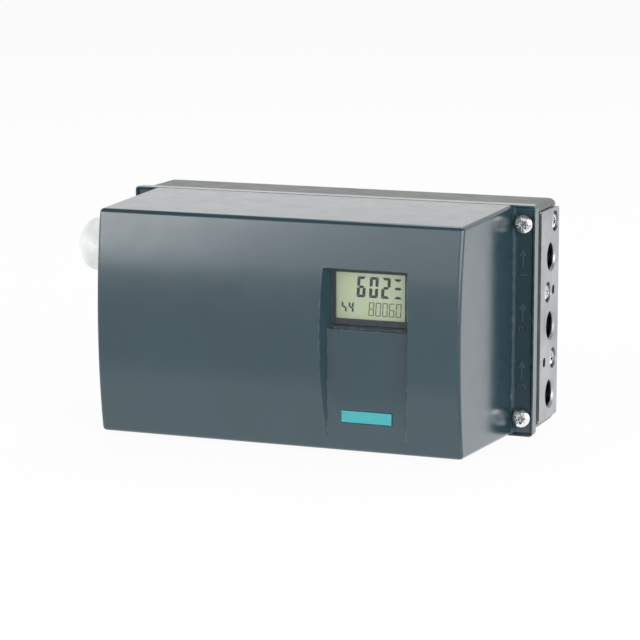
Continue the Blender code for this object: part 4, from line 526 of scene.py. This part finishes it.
# The port threads carry the near-black painted shade of their bores.
for number, z in enumerate(PORT_Z, 1):
    bm = thread_rings("X", PORT_Y, z, PORT_RADIUS, STRIP_FACE - 1.2 * MM, STRIP_FACE - 10.6 * MM, PORT_PITCH,
                      0.35 * MM)
    make("port_thread_%d" % number, bm, thread_painted_shade, "base")
for number in (1, 2, 3, 4):
    centre = middle("mounting_insert_%d" % number)
    low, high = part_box("mounting_insert_%d" % number)
    bm = thread_rings("Y", centre.x, centre.z, INSERT_RADIUS, high.y - 0.8 * MM, low.y + 0.8 * MM, INSERT_PITCH,
                      0.30 * MM, 28)
    make("insert_thread_%d" % number, bm, brass_finish, "base")

# The gland's cap nut: flats that run out into a smooth dome

nut_low, nut_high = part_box("gland_nut")
nut = middle("gland_nut")
NUT_HEX, NUT_DOME, NUT_HOLLOW, NUT_MOUTH = 11.95, 11.85, 9.1, 4.65
NUT_DOME_LENGTH = 7.3 * MM


def nut_ring(along, radius, hexness):
    """A circle across X, drawn out toward a hexagon by hexness."""
    points = []
    for step in range(48):
        turn = 2 * math.pi * step / 48
        away = (math.degrees(turn) + 30) % 60 - 30
        reach = radius * (1 + hexness * (1 / math.cos(math.radians(abs(away) - 30)) - 1))
        points.append((along, nut.y + reach * math.cos(turn), nut.z + reach * math.sin(turn)))
    return points


dome = nut_low.x + 6.6 * MM
rings = [nut_ring(nut_high.x, 11.5 * MM, 0.5), nut_ring(nut_high.x - 0.5 * MM, NUT_HEX * MM, 1.0)]
for along, radius, hexness in ((8.0, NUT_HEX, 1.0), (4.0, NUT_HEX, 0.9), (2.6, 11.93, 0.45), (1.4, 11.90, 0.15)):
    rings.append(nut_ring(dome + along * MM, radius * MM, hexness))
for step in range(11):
    share = step / 10 * 0.873
    rings.append(nut_ring(dome - NUT_DOME_LENGTH * share, NUT_DOME * MM * math.sqrt(1 - share ** 2), 0.0))
for along, radius in ((dome - 6.42 * MM, 4.9), (dome - 6.1 * MM, NUT_MOUTH), (dome - 4.4 * MM, NUT_MOUTH),
                      (dome - 4.3 * MM, NUT_HOLLOW), (nut_high.x, NUT_HOLLOW)):
    rings.append(nut_ring(along, radius * MM, 0.0))
make("gland_cap", loft(rings, hoop=True), white_finish, "base", replaces=["gland_nut"], sharp=50)

# Raised marks on the right flange: port numbers with an arrow to each port


def numeral(text, height, depth):
    """Plain digits as a mesh, upright in X and Z, facing -Y, with their middle at the origin."""
    curve = bpy.data.curves.new("digits", "FONT")
    curve.body = text
    curve.align_x = "CENTER"
    curve.align_y = "CENTER"
    curve.size = height / 0.7
    curve.extrude = depth / 2
    curve.resolution_u = 3
    text_object = bpy.data.objects.new("digits", curve)
    bpy.context.collection.objects.link(text_object)
    evaluated = text_object.evaluated_get(bpy.context.evaluated_depsgraph_get())
    bm = bmesh.new()
    bm.from_mesh(evaluated.to_mesh())
    evaluated.to_mesh_clear()
    bpy.data.objects.remove(text_object, do_unlink=True)
    bpy.data.curves.remove(curve)
    bmesh.ops.remove_doubles(bm, verts=bm.verts, dist=1e-7)
    low = Vector([min(v.co[i] for v in bm.verts) for i in range(3)])
    high = Vector([max(v.co[i] for v in bm.verts) for i in range(3)])
    bmesh.ops.translate(bm, verts=bm.verts, vec=-(low + high) / 2)
    bm.transform(Matrix.Rotation(math.radians(90), 4, "X"))
    return bm


FLANGE_FLOOR = -33.35 * MM
MARK_X = 86.3 * MM
for number, centre_z in ((1, 24.3), (2, 1.4), (3, -23.3)):
    digit = numeral("%d" % number, 3.6 * MM, 0.7 * MM)
    bmesh.ops.rotate(digit, verts=digit.verts, cent=(0, 0, 0), matrix=Matrix.Rotation(math.radians(-90), 3, "Y"))
    bmesh.ops.translate(digit, verts=digit.verts, vec=(MARK_X, FLANGE_FLOOR, (centre_z - 4.5) * MM))
    bar = sheet([[(MARK_X - 0.35 * MM, (centre_z - 1.5) * MM), (MARK_X + 0.35 * MM, (centre_z - 1.5) * MM),
                  (MARK_X + 0.35 * MM, (centre_z + 3.5) * MM), (MARK_X - 0.35 * MM, (centre_z + 3.5) * MM)],
                 [(MARK_X - 1.6 * MM, (centre_z + 3.5) * MM), (MARK_X + 1.6 * MM, (centre_z + 3.5) * MM),
                  (MARK_X, (centre_z + 6.5) * MM)]], FLANGE_FLOOR - 0.33 * MM, FLANGE_FLOOR + 0.05 * MM)
    # Their paler colour is a painted highlight.
    make("flange_mark_%d" % number, gather([digit, bar]), mark_painted_highlight, "cover", 0.00006)

# Display face: segments in dark ink, thin outlined ones in a faint tone, on the reflective glass

GLASS_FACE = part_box("display_glass")[0].y
VIEW_LEFT, VIEW_RIGHT = 24.45 * MM, 54.45 * MM
VIEW_BOTTOM, VIEW_TOP = 7.1 * MM, 26.3 * MM
INK_FACE, INK_BACK = GLASS_FACE - 0.03 * MM, GLASS_FACE + 0.01 * MM
SEGMENTS = {"0": "abcdef", "1": "bc", "2": "abged", "3": "abgcd", "4": "fgbc", "5": "afgcd", "6": "afgedc",
            "7": "abc", "8": "abcdefg", "9": "abcdfg", "h": "fgc"}


def digit_outlines(character, left, top, width, height, stroke, slant=0.06):
    """The lit segments of one digit; left and top are shares of the view, as width and height are."""
    view_w, view_h = VIEW_RIGHT - VIEW_LEFT, VIEW_TOP - VIEW_BOTTOM
    x0, z1 = VIEW_LEFT + left * view_w, VIEW_TOP - top * view_h
    w, h, s = width * view_w, height * view_h, stroke * MM
    z0, zm = z1 - h, z1 - h / 2
    gap, t = s * 0.16, s * 1.35
    shapes = {
        "a": [(gap, z1), (w - gap, z1), (w - s, z1 - s), (s, z1 - s)],
        "d": [(s, z0 + s), (w - s, z0 + s), (w - gap, z0), (gap, z0)],
        "g": [(s * 0.55, zm), (s * 1.1, zm + s * 0.5), (w - s * 1.1, zm + s * 0.5), (w - s * 0.55, zm),
              (w - s * 1.1, zm - s * 0.5), (s * 1.1, zm - s * 0.5)],
        "f": [(0, z1 - gap), (t - gap, z1 - s - gap), (t - gap, zm + s * 0.6), (t * 0.4, zm + gap * 2),
              (0, zm + s * 0.3)],
        "e": [(0, zm - s * 0.3), (t * 0.4, zm - gap * 2), (t - gap, zm - s * 0.6), (t - gap, z0 + s + gap),
              (0, z0 + gap)],
        "b": [(w, z1 - gap), (w, zm + s * 0.3), (w - t * 0.4, zm + gap * 2), (w - t + gap, zm + s * 0.6),
              (w - t + gap, z1 - s - gap)],
        "c": [(w, zm - s * 0.3), (w, z0 + gap), (w - t + gap, z0 + s + gap), (w - t + gap, zm - s * 0.6),
              (w - t * 0.4, zm - gap * 2)],
    }
    outlines = []
    for segment in SEGMENTS[character]:
        outlines.append([(x0 + x + (z - z0) * slant, z) for x, z in shapes[segment]])
    return outlines


def lens_bar(centre_x, centre_z, half, thick, kind):
    """A bar with curved flanks: kind is -1 if it's flat on top, 1 if flat below and 0 if curved on both sides."""
    points = []
    for step in range(9):
        turn = math.pi * step / 8
        points.append((centre_x + half * math.cos(turn), centre_z + (0 if kind < 0 else thick * math.sin(turn))))
    for step in range(1, 8):
        turn = math.pi + math.pi * step / 8
        points.append((centre_x + half * math.cos(turn), centre_z + (0 if kind > 0 else thick * math.sin(turn))))
    return points


dark = []
for character, left in (("6", 0.290), ("0", 0.470), ("2", 0.644)):
    dark += digit_outlines(character, left, 0.080, 0.126, 0.450, 1.10)
for character, left in (("h", 0.070), ("4", 0.170)):
    dark += digit_outlines(character, left, 0.635, 0.076, 0.240, 0.66)
faint = []
for index, character in enumerate("80060"):
    faint += digit_outlines(character, 0.462 + index * 0.098, 0.625, 0.078, 0.295, 0.36)
for share_z, kind in ((0.095, -1), (0.305, 0), (0.525, 1)):
    centre_z = VIEW_TOP - share_z * (VIEW_TOP - VIEW_BOTTOM)
    dark.append(lens_bar(VIEW_LEFT + 0.888 * (VIEW_RIGHT - VIEW_LEFT), centre_z, 1.45 * MM,
                         1.10 * MM if kind else 0.62 * MM, kind))
make("display_ink", sheet(dark, INK_FACE, INK_BACK), lcd_ink, "base", sharp=60)
make("display_faint_ink", sheet(faint, INK_FACE, INK_BACK), lcd_faint, "base", sharp=60)

# Inside, for the open pose: terminal screws, key marks and dial ticks

POLE_PITCH = 5.08 * MM
PRINT_PROUD, PRINT_SUNK = 0.03 * MM, 0.02 * MM
terminals = []
for name in ("terminal_block_1", "terminal_block_2"):
    low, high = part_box(name)
    for pole in range(7):
        z = low.z + (pole + 0.5) * POLE_PITCH
        x = high.x - 3.9 * MM
        head = turned("Y", x, z, [(low.y + 3.9 * MM, 1.45 * MM), (low.y + 2.6 * MM, 1.45 * MM),
                                  (low.y + 2.2 * MM, 1.20 * MM)], 20)
        turn = 0.4 + 0.9 * pole
        slot = slab((-2 * MM, low.y + 2.0 * MM, -0.25 * MM), (2 * MM, low.y + 3.0 * MM, 0.25 * MM))
        bmesh.ops.rotate(slot, verts=slot.verts, cent=(0, 0, 0), matrix=Matrix.Rotation(turn, 3, "Y"))
        bmesh.ops.translate(slot, verts=slot.verts, vec=(x, 0, z))
        terminals.append(carve(head, slot))
make("terminal_screws", gather(terminals), zinc_finish, "base", 0.00006)

for number in (1, 2, 3):
    low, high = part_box("operator_key_%d" % number)
    centre = middle("operator_key_%d" % number)
    cx, cz, face = centre.x, centre.z, low.y
    long, wide = 1.3 * MM, 0.28 * MM
    across = [(cx - long, cz - wide), (cx + long, cz - wide), (cx + long, cz + wide), (cx - long, cz + wide)]
    if number == 1:
        marks = [[(cx + 1.1 * MM * math.cos(t * math.pi / 8), cz + 1.1 * MM * math.sin(t * math.pi / 8))
                  for t in range(16)]]
    elif number == 2:
        marks = [across]
    else:
        marks = [across, [(cx - wide, cz + wide * 1.02), (cx + wide, cz + wide * 1.02), (cx + wide, cz + long),
                          (cx - wide, cz + long)],
                 [(cx - wide, cz - long), (cx + wide, cz - long), (cx + wide, cz - wide * 1.02),
                  (cx - wide, cz - wide * 1.02)]]
    make("key_mark_%d" % number, sheet(marks, face - PRINT_PROUD, face + PRINT_SUNK), black_finish,
         "key_%d" % number)

CARRIER_FACE = -58.0 * MM
wheel = middle("clutch_wheel")
knob = middle("ratio_selector")
ticks = []
for index in range(21):
    angle = math.radians(-130 + 13 * index)
    inner, outer = 11.8 * MM, (13.9 if index % 5 == 0 else 13.0) * MM
    half = 0.16 * MM
    along, across = Vector((math.sin(angle), math.cos(angle))), Vector((math.cos(angle), -math.sin(angle)))
    corners = [along * inner - across * half, along * outer - across * half, along * outer + across * half,
               along * inner + across * half]
    ticks.append([(wheel.x + c.x, wheel.z + c.y) for c in corners])
for angle in (0, 90):
    turn = math.radians(angle)
    along, across = Vector((math.sin(turn), math.cos(turn))), Vector((math.cos(turn), -math.sin(turn)))
    corners = [along * 8.6 * MM - across * 0.3 * MM, along * 10.4 * MM, along * 8.6 * MM + across * 0.3 * MM]
    ticks.append([(knob.x + c.x, knob.z + c.y) for c in corners])
make("carrier_print", sheet(ticks, CARRIER_FACE - PRINT_PROUD, CARRIER_FACE + PRINT_SUNK), print_finish, "base")

# Stage: floor, studio light, camera

FLOOR_Z = cad_low.z - 0.2 * MM
FLOOR_REACH = 4.0
BACKGROUND_SHARE = 0.95


def background_rays(tree):
    """1 on rays that should find a plain background, which the camera, gloss and glass send, and 0 on others."""
    paths = tree.nodes.new("ShaderNodeLightPath")
    first = tree.nodes.new("ShaderNodeMath")
    second = tree.nodes.new("ShaderNodeMath")
    first.operation = second.operation = "ADD"
    second.use_clamp = True
    tree.links.new(paths.outputs["Is Camera Ray"], first.inputs[0])
    tree.links.new(paths.outputs["Is Glossy Ray"], first.inputs[1])
    tree.links.new(first.outputs[0], second.inputs[0])
    tree.links.new(paths.outputs["Is Transmission Ray"], second.inputs[1])
    return second.outputs[0]


floor_mesh = bpy.data.meshes.new("floor")
corners = ((-FLOOR_REACH, -FLOOR_REACH), (FLOOR_REACH, -FLOOR_REACH), (FLOOR_REACH, FLOOR_REACH),
           (-FLOOR_REACH, FLOOR_REACH))
floor_mesh.from_pydata([(x, y, FLOOR_Z) for x, y in corners], [], [(0, 1, 2, 3)])
floor = bpy.data.objects.new("floor", floor_mesh)
bpy.context.collection.objects.link(floor)
floor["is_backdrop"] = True
floor_finish = bpy.data.materials.new("floor_finish")
floor_finish.use_nodes = True
tree = floor_finish.node_tree
tree.nodes.clear()
share = tree.nodes.new("ShaderNodeMath")
share.operation = "MULTIPLY"
share.inputs[1].default_value = BACKGROUND_SHARE
tree.links.new(background_rays(tree), share.inputs[0])
matt = tree.nodes.new("ShaderNodeBsdfDiffuse")
matt.inputs["Color"].default_value = (0.86, 0.86, 0.86, 1.0)
white = tree.nodes.new("ShaderNodeEmission")
blend = tree.nodes.new("ShaderNodeMixShader")
tree.links.new(share.outputs[0], blend.inputs[0])
tree.links.new(matt.outputs[0], blend.inputs[1])
tree.links.new(white.outputs[0], blend.inputs[2])
tree.links.new(blend.outputs[0], tree.nodes.new("ShaderNodeOutputMaterial").inputs["Surface"])
floor_mesh.materials.append(floor_finish)

world = scene.world or bpy.data.worlds.new("world")
scene.world = world
world.use_nodes = True
tree = world.node_tree
tree.nodes.clear()
level = tree.nodes.new("ShaderNodeMapRange")
level.inputs["To Min"].default_value = 0.38
level.inputs["To Max"].default_value = 1.0
tree.links.new(background_rays(tree), level.inputs["Value"])
# A darker ceiling, as a studio has above its light walls
heading = tree.nodes.new("ShaderNodeSeparateXYZ")
tree.links.new(tree.nodes.new("ShaderNodeTexCoord").outputs["Generated"], heading.inputs[0])
ceiling = tree.nodes.new("ShaderNodeMapRange")
for key, number in (("From Min", 0.50), ("From Max", 0.66), ("To Min", 1.0), ("To Max", 0.25)):
    ceiling.inputs[key].default_value = number
tree.links.new(heading.outputs[2], ceiling.inputs["Value"])
sky = tree.nodes.new("ShaderNodeBackground")
tree.links.new(ceiling.outputs["Result"], sky.inputs["Color"])
tree.links.new(level.outputs["Result"], sky.inputs["Strength"])
tree.links.new(sky.outputs[0], tree.nodes.new("ShaderNodeOutputWorld").inputs["Surface"])


LIT_MIDDLE = Vector((0.0, -50.0 * MM, 0.0))


def soft_light(name, width, height, radiance, place, turn):
    """A rectangular light that the camera doesn't see."""
    data = bpy.data.lights.new(name, "AREA")
    data.shape = "RECTANGLE"
    data.size, data.size_y = width, height
    data.energy = radiance * width * height * math.pi
    light = bpy.data.objects.new(name, data)
    light.location = place
    light.rotation_mode = "QUATERNION"
    light.rotation_quaternion = turn
    light.visible_camera = False
    bpy.context.collection.objects.link(light)


def lamp(name, azimuth, elevation, distance, width, height, radiance):
    """A soft lamp aimed at the object; azimuth 0 stands in front of it and 90 at its right."""
    a, e = math.radians(azimuth), math.radians(elevation)
    away = Vector((math.sin(a) * math.cos(e), -math.cos(a) * math.cos(e), math.sin(e)))
    place = LIT_MIDDLE + away * distance
    soft_light(name, width, height, radiance, place, (-away).to_track_quat("-Z", "Y"))


def glow(name, x, y, width, depth, radiance):
    """A faint light that lies on the floor and faces up, as a brightly lit table does."""
    soft_light(name, width, depth, radiance, Vector((x, y, FLOOR_Z + 1.0 * MM)), Quaternion((0, 1, 0, 0)))


lamp("key_lamp", -45, 14, 1.7, 1.30, 0.66, 6.9)
lamp("soft_lamp", -13, 13.5, 1.7, 0.70, 0.66, 1.3)
lamp("top_lamp", 180, 62, 1.6, 1.1, 0.9, 4.5)
lamp("back_lamp", 202, 12, 2.0, 1.6, 0.7, 0.30)
lamp("fill_lamp", 58, 16, 1.4, 1.6, 0.85, 4.5)
glow("front_glow", -0.03, -0.1345, 0.26, 0.083, 0.5)
glow("side_glow", 0.25, 0.30, 0.50, 0.80, 0.5)

AIM = Vector((-0.00183, -0.04152, -0.00373))
camera_data = bpy.data.cameras.new("camera")
camera_data.lens = 155.5
camera_data.sensor_width = 36.0
camera_data.clip_start, camera_data.clip_end = 0.05, 20.0
camera = bpy.data.objects.new("camera", camera_data)
camera.location = (0.42118, -1.13153, 0.20307)
back = camera.location - AIM
camera.rotation_mode = "QUATERNION"
camera.rotation_quaternion = back.to_track_quat("Z", "Y")
bpy.context.collection.objects.link(camera)
scene.camera = camera
scene.view_settings.view_transform = "Standard"

bpy.context.view_layer.update()
low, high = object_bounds()
